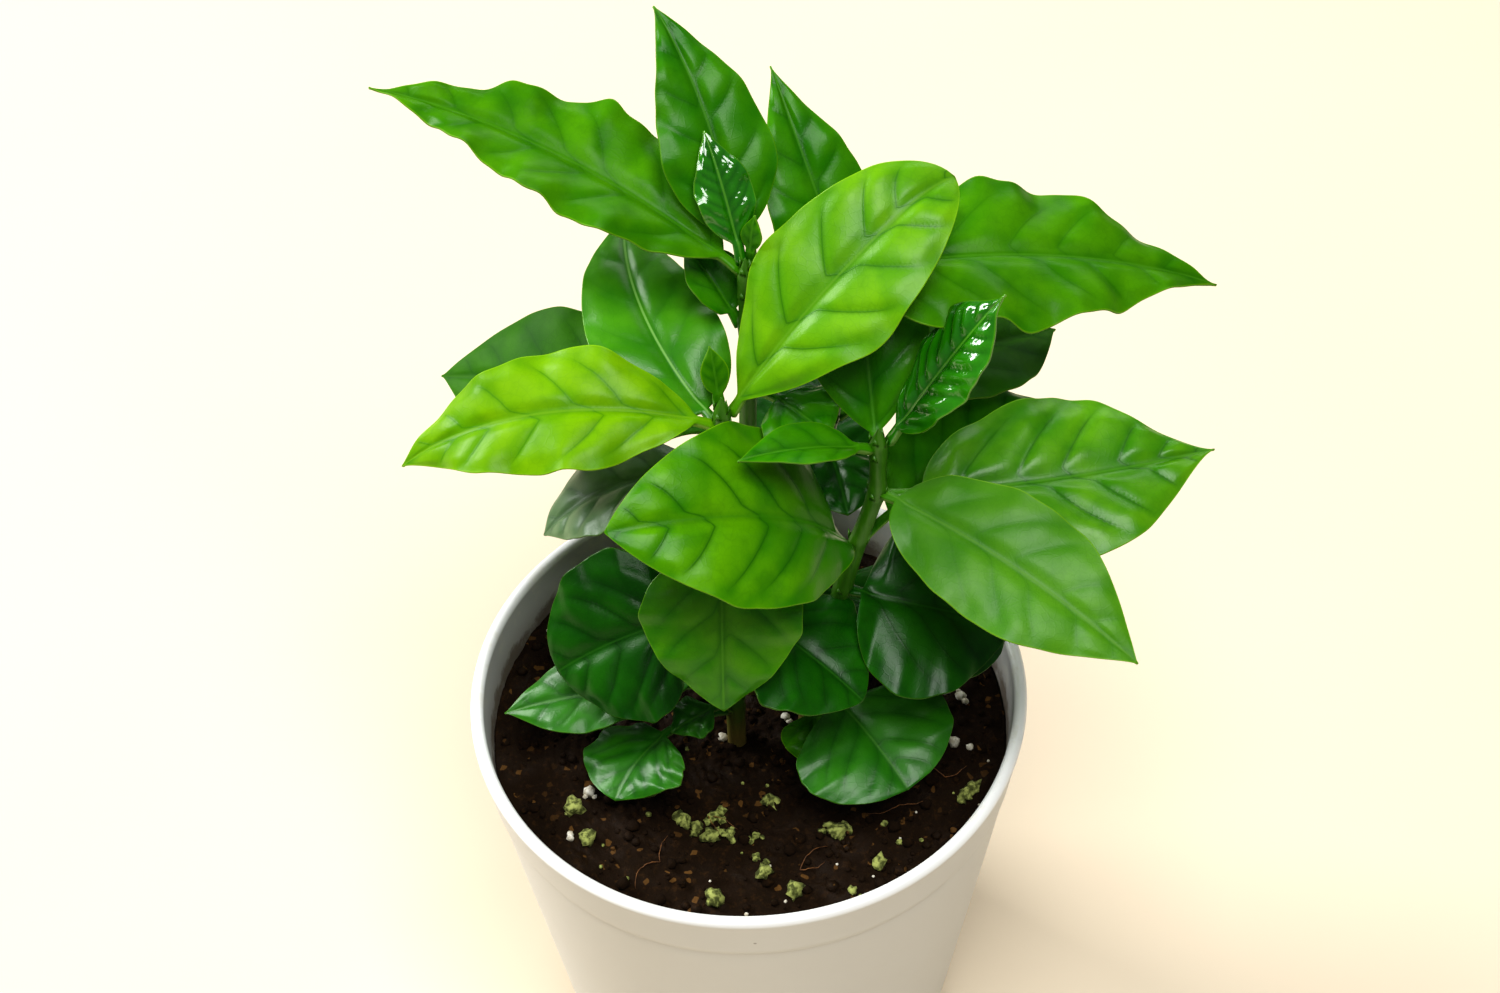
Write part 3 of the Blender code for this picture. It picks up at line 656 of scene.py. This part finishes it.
LOOKS = {
    "bright": leaf_look(
        (90, 146, 0), (120, 170, 0), (48, 112, 0), (110, 158, 10), vein=0.6, edge=0.5, gloss=0.36, shine=0.14,
    ),
    "hero": leaf_look(
        (80, 144, 0), (112, 170, 0), (36, 100, 0), (96, 150, 20), vein=0.7, edge=0.5, gloss=0.38,
    ),
    "front": leaf_look(
        (56, 126, 0), (98, 162, 0), (26, 90, 0), (60, 126, 4), vein=0.75, ribbing=0.35, gloss=0.30,
        shine=0.15, foot=0.9,
    ),
    "pale": leaf_look(
        (66, 130, 8), (90, 150, 22), (44, 106, 2), (96, 148, 36), vein=0.3, ribbing=0.35, edge=0.4,
        gloss=0.44, shine=0.28, foot=0.45,
    ),
    "middle": leaf_look(
        (50, 114, 0), (76, 138, 0), (26, 86, 0), (70, 130, 20), vein=0.35, ribbing=0.45, shine=0.10,
    ),
    "glossy": leaf_look(
        (58, 128, 0), (96, 158, 0), (22, 84, 0), (76, 142, 10), vein=0.6, ribbing=0.45, gloss=0.36,
        shine=0.34, foot=0.4,
    ),
    "ribbed": leaf_look(
        (46, 118, 0), (70, 138, 4), (26, 92, 0), (120, 170, 84), vein=0.2, ribbing=0.8, edge=0.2, shine=0.36,
    ),
    "deep": leaf_look(
        (38, 112, 0), (64, 132, 0), (16, 78, 0), (74, 138, 24), edge=0.18, gloss=0.32, shine=0.16,
    ),
    "leafy": leaf_look((50, 122, 0), (80, 144, 0), (22, 86, 0), (86, 148, 30), edge=0.25, shine=0.3),
    # The grey look's colours hold a painted bluish-grey sheen.
    "grey": leaf_look(
        (68, 110, 54), (100, 136, 90), (28, 70, 24), (66, 108, 48), edge=0.1, gloss=0.42, shine=0.6,
    ),
    "dull": leaf_look(
        (40, 96, 6), (60, 116, 18), (18, 70, 2), (60, 112, 20), vein=0.35, ribbing=0.4, edge=0.12, gloss=0.5,
        shine=0.08,
    ),
    # The dark look is partly the deep green of the low leaves behind and partly painted shade.
    "dark": leaf_look((10, 70, 0), (26, 92, 0), (4, 44, 0), (38, 100, 10), vein=0.45, edge=0.08, gloss=0.33),
    "wet": leaf_look(
        (30, 96, 8), (48, 116, 14), (12, 62, 2), (64, 120, 30), edge=0.1, gloss=0.36, shine=0.34,
    ),
    "young": leaf_look(
        (24, 104, 0), (44, 128, 0), (8, 70, 0), (92, 156, 40), vein=0.3, ribbing=0.6, edge=0.2, gloss=0.14,
        shine=0.9,
    ),
}
RIM_TONE = (142, 190, 24)
UNDER_TONE = (140, 168, 96)
VEIN_LINE, VEIN_VALLEY = 0.28, 1.2
MIDRIB_LINE, MIDRIB_TROUGH, MARGIN_LINE = 0.30, 1.2, 0.28
NET_SIZE = 1.6


def leaf_material(name, look):
    tree = Tree("leaf_" + name)
    blade_at = tree.node("ShaderNodeAttribute", {"attribute_name": "blade"}, output="Vector")
    sheet_at = tree.node("ShaderNodeAttribute", {"attribute_name": "sheet"}, output="Vector")
    across, along, veins = tree.parts(blade_at)
    half_width, under, spacing = tree.parts(sheet_at)
    place = tree.place()
    clouds = tree.noise(place, 9, detail=2)
    patches = tree.noise(place, 4, detail=3)
    mottle = tree.noise(place, 1.1, detail=3, roughness=0.6)
    out = abs(across)
    from_vein = abs((veins + 0.5 + (patches - 0.5) * 0.07).fraction() - 0.5)
    vein_distance = from_vein * spacing
    reach = 1 - out.step(0.60, 0.92)
    blade_only = along.step(0.01, 0.05)
    off_midrib = out * half_width
    off_margin = (1 - out) * half_width

    # Painted light and shade: puffed tissue between the veins is painted lighter, shade is painted shade in
    # the vein valleys, and trough is painted shade beside the midrib.
    puffed = from_vein.step(0.05, 0.40)
    shade = vein_distance.step(0.10, VEIN_VALLEY, 1.0, 0.0) * reach * blade_only * look["vein"]
    line = vein_distance.step(0.05, VEIN_LINE, 1.0, 0.0) * reach * blade_only * look["vein"]
    trough = off_midrib.step(0.2, MIDRIB_TROUGH, 1.0, 0.0) * blade_only
    rib = off_midrib.step(0.08, MIDRIB_LINE, 1.0, 0.0)
    rim = off_margin.step(0.05, MARGIN_LINE, 1.0, 0.0) * blade_only
    net_line = tree.cells(place, NET_SIZE).step(0.0, 0.10, 1.0, 0.0)

    plain, light, valley = (colour(*look[key]) for key in ("tissue", "light", "valley"))
    # The light colour on puffed tissue is painted light. shade and trough below mix in painted shade. clouds,
    # patches and the net are the leaf's own mottling.
    tissue = tree.mix(clouds.step(0.34, 0.66) * 0.6 + puffed * 0.3, plain, light)
    tissue = tree.mix(patches.step(0.45, 0.75) * 0.22, tissue, valley)
    tissue = tree.mix(net_line * 0.07, tissue, valley)
    # Painted shade towards the stalk, where other leaves shade the blade.
    tissue = tree.mix(along.step(0.0, 0.7, 1.0, 0.0) * look["foot"], tissue, valley)
    tissue = tree.mix(shade * 0.5 + line * 0.5, tissue, valley)
    tissue = tree.mix(trough * 0.3, tissue, valley)
    tissue = tree.mix(rim * look["edge"], tissue, colour(*RIM_TONE))
    tissue = tree.mix(rib * look["ribbing"], tissue, colour(*look["rib"]))
    beneath = tree.mix(0.5, light, colour(*UNDER_TONE))
    beneath = tree.mix(line * 0.4 + rib * 0.4, beneath, colour(*RIM_TONE))
    both = tree.mix(under, tissue, beneath)

    rough = look["gloss"] + (clouds - 0.5) * 0.12 + (mottle - 0.5) * 0.06 + rib * 0.08 + under * 0.24
    relief = mottle * 0.5 + net_line * 0.2 + line * 0.5
    made = tree.finish(Base_Color=both, Roughness=rough, Normal=tree.bump(relief, 0.07, 0.5))
    tree.shader.inputs["Specular IOR Level"].default_value = look["shine"]
    return made


leaf_materials = {name: leaf_material(name, look) for name, look in LOOKS.items()}
print("leaf finishes:", ", ".join(leaf_materials))

# %% [markdown]
# ## All leaves
# One loop makes every leaf from its measures, gives it the finish of its look, and hides the plain solid.

# %% All leaves
for number, (name, leaf) in enumerate(LEAVES.items()):
    made = make_leaf(name, leaf, 0.37 * number, leaf_materials[leaf["look"]])
print("leaves made:", number + 1)

# %% [markdown]
# ## Stems
# A coffee stem is green and slightly flattened, with a thickened knot where each pair of leaves grows, and
# a small pointed scale between the stalks. Rings of points along the axis swell at each knot. The foot
# turns brown where bark begins.

# %% Stems
STEM_SIDES = 28
STEM_STEP = 0.55
STEM_SLIMMING = 0.12
KNOT_SWELL = 0.2
KNOT_LENGTH = 1.6
APEX_LENGTH = 4.0
RINGS_SMOOTHED = 5
BARK_ENDS = (84, 102)


def stem_rings(name):
    """Rings of points up a stem, swollen at its knots, and how high each ring is."""
    points = np.array(STEMS[name], float)
    heights = np.arange(points[0, 2], points[-1, 2], STEM_STEP)
    heights = np.append(heights, points[-1, 2])
    knots = sorted({leaf["z"] for leaf in LEAVES.values() if leaf["stem"] == name})
    axis = np.stack([np.interp(heights, points[:, 2], points[:, k]) for k in range(4)], 1)
    weights = np.hanning(2 * RINGS_SMOOTHED + 3)[1:-1]
    for k in range(2):
        padded = np.pad(axis[:, k], RINGS_SMOOTHED, mode="edge")
        axis[:, k] = np.convolve(padded, weights / weights.sum(), mode="valid")
    swell = sum(KNOT_SWELL * np.exp(-(((heights - knot) / KNOT_LENGTH) ** 2)) for knot in knots)
    swell = np.minimum(swell, KNOT_SWELL)
    turn = np.linspace(0, math.tau, STEM_SIDES, endpoint=False)
    ridge = 0.06 * np.cos(2 * turn)[None, :] + 0.03 * np.sin(5 * turn[None, :] + heights[:, None] / 9)
    close = np.clip((heights[-1] - heights) / APEX_LENGTH, 0.01, 1)[:, None] ** 0.6
    radius = ((axis[:, 3] - STEM_SLIMMING + swell)[:, None] + ridge) * close
    x = axis[:, 0, None] + radius * np.cos(turn)
    y = axis[:, 1, None] + radius * np.sin(turn)
    z = np.broadcast_to(heights[:, None], x.shape)
    return np.stack([x, y, z], -1), heights, knots


def ring_faces(rings, sides):
    """Quads round a stack of rings, and one flat face on each end."""
    index = np.arange(rings * sides).reshape(rings, sides)
    turned = np.roll(index, -1, 1)
    wall = np.stack([index[:-1], turned[:-1], turned[1:], index[1:]], -1).reshape(-1, 4).tolist()
    return wall + [index[0, ::-1].tolist(), index[-1].tolist()]


def stem_material():
    tree = Tree("stem_skin")
    place = tree.place()
    height = tree.parts(place)[2]
    stretched = tree.node("ShaderNodeVectorMath", {"operation": "MULTIPLY"}, {0: place, 1: (1, 1, 0.12)})
    streaks = tree.noise(stretched, 0.7, detail=4)
    blotches = tree.noise(place, 5, detail=3)
    green = tree.mix(streaks, colour(32, 90, 0), colour(70, 124, 8))
    green = tree.mix((blotches - 0.4) * 0.8, green, colour(58, 112, 6))
    bark = tree.mix(streaks, colour(84, 74, 26), colour(136, 118, 52))
    woody = (height + (blotches - 0.5) * 14).step(*BARK_ENDS, 1.0, 0.0)
    tone = tree.mix(woody, green, bark)
    rough = 0.42 + woody * 0.3 + (streaks - 0.5) * 0.12
    return tree.finish(Base_Color=tone, Roughness=rough, Normal=tree.bump(streaks, 0.12, 0.6))


STIPULE = dict(length=2.0, width=1.2, thickness=0.3, sunk=0.25, lean=0.5)


def stipules(rings, heights, knots):
    """Small pointed scales on both sides of each knot, pressed to the stem, as points and faces."""
    points, faces = [], []
    for number, knot in enumerate(knots):
        row = int(np.argmin(np.abs(heights - knot)))
        centre = rings[row].mean(0)
        radius = np.linalg.norm(rings[row][0] - centre)
        for way in (0, math.pi):
            turn = way + 1.1 + 1.57 * number
            out = np.array([math.cos(turn), math.sin(turn), 0])
            side = np.array([-math.sin(turn), math.cos(turn), 0])
            foot = centre + out * (radius - STIPULE["sunk"])
            tip = foot + out * STIPULE["lean"] + np.array([0, 0, STIPULE["length"]])
            half = side * STIPULE["width"] / 2
            thick = out * STIPULE["thickness"]
            first = len(points)
            points += [foot - half, foot + half, foot + half + thick, foot - half + thick, tip]
            shape = [(0, 1, 2, 3), (0, 4, 1), (1, 4, 2), (2, 4, 3), (3, 4, 0)]
            faces += [tuple(first + k for k in face) for face in shape]
    return points, faces


stem_skin = stem_material()
for name in STEMS:
    rings, heights, knots = stem_rings(name)
    points = rings.reshape(-1, 3).tolist()
    faces = ring_faces(*rings.shape[:2])
    scale_points, scale_faces = stipules(rings, heights, knots)
    faces += [tuple(k + len(points) for k in face) for face in scale_faces]
    points += [list(p) for p in scale_points]
    stem = new_mesh(name + "_shoot", points, faces, stem_skin)
    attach(stem, "root")
    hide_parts(name)
    print(name, "knots at", knots)

# %% [markdown]
# ## Pot
# A nursery pot is blown or moulded from thin white plastic. Turning its profile round an axis gives the
# wall, the step under the collar and the rolled rim. The rim is never quite even, so it gets a slight
# wobble and the small nick of the photograph. Booleans cut the drain holes. Handling leaves scuffs, and
# watering leaves lime and peat inside. The top of the rim is painted whiter, as painted light.

# %% Pot
POT_HEIGHT, RIM_RADIUS, RIM_WIDTH = 95, 52.5, 2.5
COLLAR_HEIGHT, COLLAR_STEP, COLLAR_TAPER = 12.5, 0.6, 1.6
BASE_RADIUS, WALL, FLOOR_THICKNESS, BASE_ROUNDING, CORNER = 38.8, 1.25, 1.6, 1.8, 1.2
DRAIN_HOLES, DRAIN_RADIUS, DRAIN_CIRCLE = 8, 3.0, 25.0
POT_SIDES = 240
WOBBLE_FROM, LIP_WOBBLE = 60, 0.06
NICK_PIXEL, NICK_DEPTH, NICK_WIDTH = (1010, 735), 0.7, 0.9
MID_WALL = 0.7
SOIL_TOP = 84
PHOTO_WIDTH, PHOTO_HEIGHT = 1500, 993
SENSOR_WIDTH = 36


def from_photo(pixel, height):
    """Where the line of sight through a pixel of the photograph meets a height, in millimetres."""
    focal = PHOTO_WIDTH * CAMERA_LENS / SENSOR_WIDTH
    sight = Vector((pixel[0] - PHOTO_WIDTH / 2, PHOTO_HEIGHT / 2 - pixel[1], -focal))
    sight = camera.matrix_world.to_3x3() @ sight
    start = CAMERA_PLACE / MM
    return start + sight * (height - start.z) / sight.z


def outer_wall(height):
    top_radius = RIM_RADIUS - COLLAR_TAPER - COLLAR_STEP
    return BASE_RADIUS + (top_radius - BASE_RADIUS) * height / (POT_HEIGHT - COLLAR_HEIGHT)


def arc(radius, height, size, start, end, steps):
    turns = np.radians(np.linspace(start, end, steps + 1))
    return [(radius + size * math.cos(a), height + size * math.sin(a)) for a in turns]


def wall_line(start, end, steps):
    """Points (radius, height) in a straight line, without its last one."""
    return [tuple(np.array(start) + (np.array(end) - start) * k / steps) for k in range(steps)]


def pot_profile():
    """The pot's section from the middle of its floor inside, over the rim, to the middle of its underside."""
    collar_foot = POT_HEIGHT - COLLAR_HEIGHT
    collar_radius = RIM_RADIUS - COLLAR_TAPER
    wall_top, wall_foot = outer_wall(collar_foot), outer_wall(BASE_ROUNDING)
    half_rim = RIM_WIDTH / 2
    inner = wall_top - WALL
    low = outer_wall(FLOOR_THICKNESS) - WALL
    corner = arc(low - CORNER, FLOOR_THICKNESS + CORNER, CORNER, -90, 0, 5)
    inside = wall_line((0.0, FLOOR_THICKNESS), corner[0], 16) + corner
    inside += wall_line((low, FLOOR_THICKNESS + BASE_ROUNDING), (inner, collar_foot), 26)
    inside += wall_line((inner, collar_foot), (RIM_RADIUS - RIM_WIDTH, POT_HEIGHT - half_rim), 8)
    rim = arc(RIM_RADIUS - half_rim, POT_HEIGHT - half_rim, half_rim, 180, 0, 18)
    collar = wall_line((RIM_RADIUS - 0.3, POT_HEIGHT - RIM_WIDTH), (collar_radius, collar_foot + 1.0), 9)
    step = [(collar_radius, collar_foot + 0.75), (collar_radius - 0.18, collar_foot + 0.4)]
    step += [(wall_top + 0.12, collar_foot + 0.15), (wall_top, collar_foot - 0.3)]
    wall = wall_line((wall_top, collar_foot - 1.2), (wall_foot, BASE_ROUNDING), 26)
    base = arc(wall_foot - BASE_ROUNDING, BASE_ROUNDING, BASE_ROUNDING, 0, -90, 7)
    foot = wall_line(base[-1], (0.0, 0.0), 16)[1:]
    return inside + rim + collar + step + wall + base + foot + [(0.0, 0.0)]


def turned_faces(index, centre):
    """Quads between the rings of a turned shape, and a fan from its first ring to a centre point."""
    turned = np.roll(index, -1, 1)
    wall = np.stack([index[:-1], index[1:], turned[1:], turned[:-1]], -1).reshape(-1, 4).tolist()
    return wall + [[centre, here, next_one] for here, next_one in zip(index[0], turned[0])]


def turned_points(profile):
    """The profile turned round the axis, with an uneven rim and its nick: rings of points."""
    turn = np.linspace(0, math.tau, POT_SIDES, endpoint=False)
    radius, height = profile[:, 0, None], profile[:, 1, None]
    near_top = smooth(WOBBLE_FROM, POT_HEIGHT, height)
    wobble = near_top * (0.14 * np.sin(2 * turn + 0.7) + 0.08 * np.sin(5 * turn)) - 0.14 * near_top
    nick = from_photo(NICK_PIXEL, POT_HEIGHT)
    nick_turn = math.atan2(nick.y, nick.x)
    away = np.abs((turn - nick_turn + math.pi) % math.tau - math.pi) * RIM_RADIUS
    dent = NICK_DEPTH * np.exp(-((away / NICK_WIDTH) ** 2)) * smooth(POT_HEIGHT - 1.2, POT_HEIGHT, height)
    ring = (radius + wobble * (radius > 30)) * np.ones_like(turn)
    lip = height + LIP_WOBBLE * near_top * np.sin(3 * turn + 2) - LIP_WOBBLE * near_top - dent
    return np.stack([ring * np.cos(turn), ring * np.sin(turn), lip * np.ones_like(turn)], -1)


def drain_cutter():
    """Upright cylinders where the drain holes go."""
    shape = bmesh.new()
    for k in range(DRAIN_HOLES):
        turn = math.tau * k / DRAIN_HOLES
        place = Matrix.Translation(Vector((math.cos(turn), math.sin(turn), 0)) * DRAIN_CIRCLE * MM)
        bmesh.ops.create_cone(
            shape, cap_ends=True, segments=40, radius1=DRAIN_RADIUS * MM, radius2=DRAIN_RADIUS * MM,
            depth=8 * MM, matrix=place,
        )
    mesh = bpy.data.meshes.new("drain_cutter")
    shape.to_mesh(mesh)
    shape.free()
    cutter = bpy.data.objects.new("drain_cutter", mesh)
    bpy.context.scene.collection.objects.link(cutter)
    return cutter


def make_pot(material):
    rings = turned_points(np.array(pot_profile()))
    inner = rings[1:-1].reshape(-1, 3)
    count = len(inner)
    points = np.vstack([inner, rings[0, :1], rings[-1, :1]])
    index = np.arange(count).reshape(-1, POT_SIDES)
    last = zip(index[-1], np.roll(index[-1], -1))
    faces = turned_faces(index, count) + [[count + 1, next_one, here] for here, next_one in last]
    pot = new_mesh("pot_shell", points, faces, material)
    cutter = drain_cutter()
    boolean = pot.modifiers.new("Drain", "BOOLEAN")
    boolean.object = cutter
    boolean.solver = "EXACT"
    graph = bpy.context.evaluated_depsgraph_get()
    pot.data = bpy.data.meshes.new_from_object(pot.evaluated_get(graph))
    pot.modifiers.clear()
    bpy.data.objects.remove(cutter, do_unlink=True)
    return pot


def pot_material():
    tree = Tree("pot_white")
    place = tree.place()
    x, y, height = tree.parts(place)
    out = (x * x + y * y) ** 0.5
    clouds = tree.noise(place, 26, detail=3)
    grain = tree.noise(place, 0.6, detail=2)
    smears = tree.noise(place, 7, detail=5, roughness=0.7)
    specks = tree.cells(place, 3.4, "F1", "Distance")
    speck_colour = tree.cells(place, 3.4, "F1", "Color")
    chosen = tree.parts(speck_colour)[0]
    taper = (outer_wall(POT_HEIGHT) - outer_wall(0)) / POT_HEIGHT
    inside_wall = (height * taper + outer_wall(0) - MID_WALL - out).step(0.0, 0.3) * height.step(2, 6)
    near_soil = inside_wall * height.step(SOIL_TOP, SOIL_TOP + 7, 1.0, 0.0)
    lime = smears.step(0.50, 0.62) * inside_wall * height.step(SOIL_TOP + 1, SOIL_TOP + 4)
    peat = (smears * 0.9 + near_soil * 0.55).step(0.78, 1.02) * inside_wall
    dirt = specks.step(0.05, 0.13, 1.0, 0.0) * (chosen > 0.86) * height.step(SOIL_TOP - 4, SOIL_TOP + 8)
    tone = tree.mix(clouds, colour(206, 206, 201), colour(215, 216, 213))
    # Painted light: the top of the rim is painted whiter, as if lit from above.
    tone = tree.mix(height.step(POT_HEIGHT - 1.6, POT_HEIGHT - 0.6), tone, colour(240, 241, 239))
    tone = tree.mix(lime * 0.5, tone, colour(226, 224, 214))
    tone = tree.mix(peat * 0.75, tone, colour(92, 74, 54))
    tone = tree.mix(near_soil * 0.35, tone, colour(120, 104, 84))
    tone = tree.mix(dirt * 0.8, tone, colour(74, 56, 40))
    rough = 0.42 + (clouds - 0.5) * 0.12 + peat * 0.3 + lime * 0.2 + (grain - 0.5) * 0.06
    relief = tree.bump(grain * 0.5 + clouds * 0.5, 0.05, 0.4)
    return tree.finish(Base_Color=tone, Roughness=rough, Normal=relief)


pot = make_pot(pot_material())
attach(pot, "root")
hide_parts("pot")
print("pot triangles:", sum(len(face.vertices) - 2 for face in pot.data.polygons))

# %% [markdown]
# ## Soil
# Moist peat is a surface of crumbs of every size. A fine disc is raised by layered noise, and hundreds of
# loose crumbs, each a small lump pushed in and out by noise, are strewn over it. White perlite and pale
# green algae lumps lie where the photograph shows them, with some more strewn between, and a few thin root
# fibres arch over the peat. Each sort is one mesh that rides with the soil.

# %% Soil
SOIL_RINGS, SOIL_SIDES = 150, 300
FOOT = 1.9
STREWN_RADIUS = 47.5
PERLITE_PIXELS = [
    (723, 734), (961, 694), (946, 687), (970, 745), (954, 742), (786, 716), (570, 836), (589, 790),
]
LUMP_PIXELS = [
    (680, 816), (684, 820), (697, 826), (714, 814), (722, 819), (711, 834), (728, 834), (733, 839),
    (756, 834), (771, 800), (766, 860), (764, 872), (757, 856), (795, 889), (822, 830), (830, 826),
    (837, 831), (845, 826), (879, 862), (853, 889), (574, 805), (584, 832), (588, 838), (973, 786),
    (966, 792), (714, 896), (651, 790), (625, 877),
]
FIBRE_PIXELS = [(945, 775), (900, 805), (708, 813), (660, 860), (800, 870), (620, 770)]
FIBRE_STEPS, FIBRE_SIDES, FIBRE_TURN, FIBRE_THICKNESS = 16, 5, 1.2566, 0.11


def soil_height(x, y):
    """How high the peat is, in millimetres: slow swells, lumps and fine crumbs."""
    swell = noise.noise(Vector((x, y, 0)) / 11)
    lump = noise.noise(Vector((x, y, 7)) / 3.2)
    crumb = noise.noise(Vector((x, y, 3)) / 1.1)
    grain = noise.noise(Vector((x, y, 5)) / 0.45)
    clod = noise.voronoi(Vector((x, y, 0)) / 2.4)[0][0]
    return SOIL_TOP - 0.9 + 0.5 * swell + 0.65 * lump + 0.42 * crumb + 0.16 * grain + 0.55 * (0.45 - clod)


def make_soil(material):
    """A plug of peat: rings of crumbly surface, a plain side down to the pot's floor, and a flat foot."""
    edge = outer_wall(SOIL_TOP - 2) - WALL - 0.15
    foot_edge = outer_wall(FOOT) - WALL
    turn = np.linspace(0, math.tau, SOIL_SIDES, endpoint=False)
    points = [(0.0, 0.0, soil_height(0, 0))]
    for k in range(1, SOIL_RINGS + 1):
        radius = edge * (k / SOIL_RINGS) ** 0.8
        ring = [(radius * math.cos(a), radius * math.sin(a)) for a in turn]
        points += [(x, y, soil_height(x, y)) for x, y in ring]
    for radius, height in ((foot_edge - 0.4, FOOT + 1.0), (foot_edge - 1.4, FOOT)):
        points += [(radius * math.cos(a), radius * math.sin(a), height) for a in turn]
    index = np.arange(1, len(points)).reshape(-1, SOIL_SIDES)
    faces = turned_faces(index, 0) + [index[-1, ::-1].tolist()]
    return new_mesh("soil_peat_top", points, faces, material)


def lump(centre, size, seed, detail=1, flat=0.8, rough=0.35):
    """An irregular little stone or crumb as points and faces."""
    shape = bmesh.new()
    bmesh.ops.create_icosphere(shape, subdivisions=detail, radius=1)
    spin = Matrix.Rotation(seed * 2.4, 3, Vector((math.sin(seed), math.cos(seed), 0.5)).normalized())
    points = []
    for vertex in shape.verts:
        bulge = 1 + rough * noise.noise(vertex.co * 1.3 + Vector((seed, 3 * seed, 0)))
        bulge += 0.5 * rough * noise.noise(vertex.co * 3.1 + Vector((0, seed, 2 * seed)))
        where = spin @ (vertex.co * bulge)
        points.append(Vector(centre) + Vector((where.x, where.y, where.z * flat)) * size)
    faces = [[vertex.index for vertex in face.verts] for face in shape.faces]
    shape.free()
    return points, faces


def joined(name, pieces, material):
    """One mesh of many small pieces, riding on the soil."""
    points, faces = [], []
    for piece_points, piece_faces in pieces:
        faces += [[k + len(points) for k in face] for face in piece_faces]
        points += [tuple(point) for point in piece_points]
    made = new_mesh(name, points, faces, material)
    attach(made, "root")


def soil_material():
    tree = Tree("moist_peat")
    place = tree.place()
    clouds = tree.noise(place, 9, detail=3)
    crumbs = tree.noise(place, 1.4, detail=5, roughness=0.7)
    bits = tree.parts(tree.cells(place, 1.0, "F1", "Color"))[0]
    tone = tree.mix(clouds, colour(22, 13, 5), colour(36, 23, 10))
    tone = tree.mix(crumbs.step(0.50, 0.72) * 0.45, tone, colour(66, 44, 20))
    tone = tree.mix(bits.step(0.965, 0.985) * 0.6, tone, colour(112, 80, 40))
    rough = 0.95 - clouds.step(0.45, 0.7) * 0.4
    made = tree.finish(Base_Color=tone, Roughness=rough, Normal=tree.bump(crumbs, 0.5, 0.8))
    tree.shader.inputs["Specular IOR Level"].default_value = 0.12
    return made


def crumb_material(name, first, second, rough):
    tree = Tree(name)
    place = tree.place()
    spread = tree.noise(place, 1.1, detail=4)
    tone = tree.mix(spread.step(0.38, 0.62), colour(*first), colour(*second))
    return tree.finish(Base_Color=tone, Roughness=rough, Normal=tree.bump(spread, 0.25, 0.7))


peat = soil_material()
soil = make_soil(peat)
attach(soil, "root")
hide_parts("soil")

dice = random.Random(7)


def strewn(count, small, large, detail=1):
    """Lumps at random places all over the peat, most of them small."""
    pieces = []
    for _ in range(count):
        radius = STREWN_RADIUS * math.sqrt(dice.random())
        turn = dice.uniform(0, math.tau)
        x, y = radius * math.cos(turn), radius * math.sin(turn)
        size = small + (large - small) * dice.random() ** 3
        pieces.append(lump((x, y, soil_height(x, y) + 0.25 * size), size, dice.uniform(0, 40), detail, 0.75))
    return pieces


def placed(pixels, small, large, detail=2, rough=0.4):
    """A lump where the photograph shows one, with up to two smaller ones beside it."""
    pieces = []
    for pixel in pixels:
        spot = from_photo(pixel, SOIL_TOP)
        for k in range(dice.choice((1, 1, 2, 3))):
            x = spot.x + dice.uniform(-1.4, 1.4) * min(k, 1)
            y = spot.y + dice.uniform(-1.4, 1.4) * min(k, 1)
            size = dice.uniform(small, large) * (1 if k == 0 else 0.6)
            height = soil_height(x, y) + 0.35 * size
            pieces.append(lump((x, y, height), size, dice.uniform(0, 40), detail, 0.8, rough))
    return pieces


def fibre(pixel):
    """A thin bent root as a tube with few sides."""
    spot = from_photo(pixel, SOIL_TOP)
    heading, bend = dice.uniform(0, math.tau), dice.uniform(-0.12, 0.12)
    stride = dice.uniform(5, 10) / FIBRE_STEPS
    x, y = spot.x, spot.y
    points = []
    for k in range(FIBRE_STEPS + 1):
        lift = 0.5 + 0.8 * math.sin(math.pi * k / FIBRE_STEPS)
        side = np.array([-math.sin(heading), math.cos(heading), 0])
        size = FIBRE_THICKNESS * (1 - 0.6 * k / FIBRE_STEPS)
        centre = np.array([x, y, soil_height(x, y) + lift])
        for turn in np.arange(FIBRE_SIDES) * FIBRE_TURN:
            way = side * math.cos(turn) + np.array([0, 0, math.sin(turn)])
            points.append(Vector(centre + size * way))
        heading += bend + dice.uniform(-0.08, 0.08)
        x, y = x + stride * math.cos(heading), y + stride * math.sin(heading)
    return points, ring_faces(FIBRE_STEPS + 1, FIBRE_SIDES)


joined("soil_crumbs", strewn(900, 0.28, 1.5), peat)
perlite = crumb_material("perlite", (176, 168, 146), (226, 222, 208), 0.7)
joined("soil_perlite", placed(PERLITE_PIXELS, 0.7, 1.3) + strewn(22, 0.25, 0.6, 2), perlite)
mossy = crumb_material("mossy_lump", (66, 72, 20), (158, 166, 90), 0.85)
joined("soil_algae", placed(LUMP_PIXELS, 0.6, 1.8, rough=0.9) + strewn(30, 0.25, 0.8, 2), mossy)
roots = [fibre(pixel) for pixel in FIBRE_PIXELS * 2]
joined("soil_fibres", roots, crumb_material("fibre", (84, 52, 24), (132, 86, 42), 0.7))
print("soil triangles:", sum(len(face.vertices) - 2 for face in soil.data.polygons))
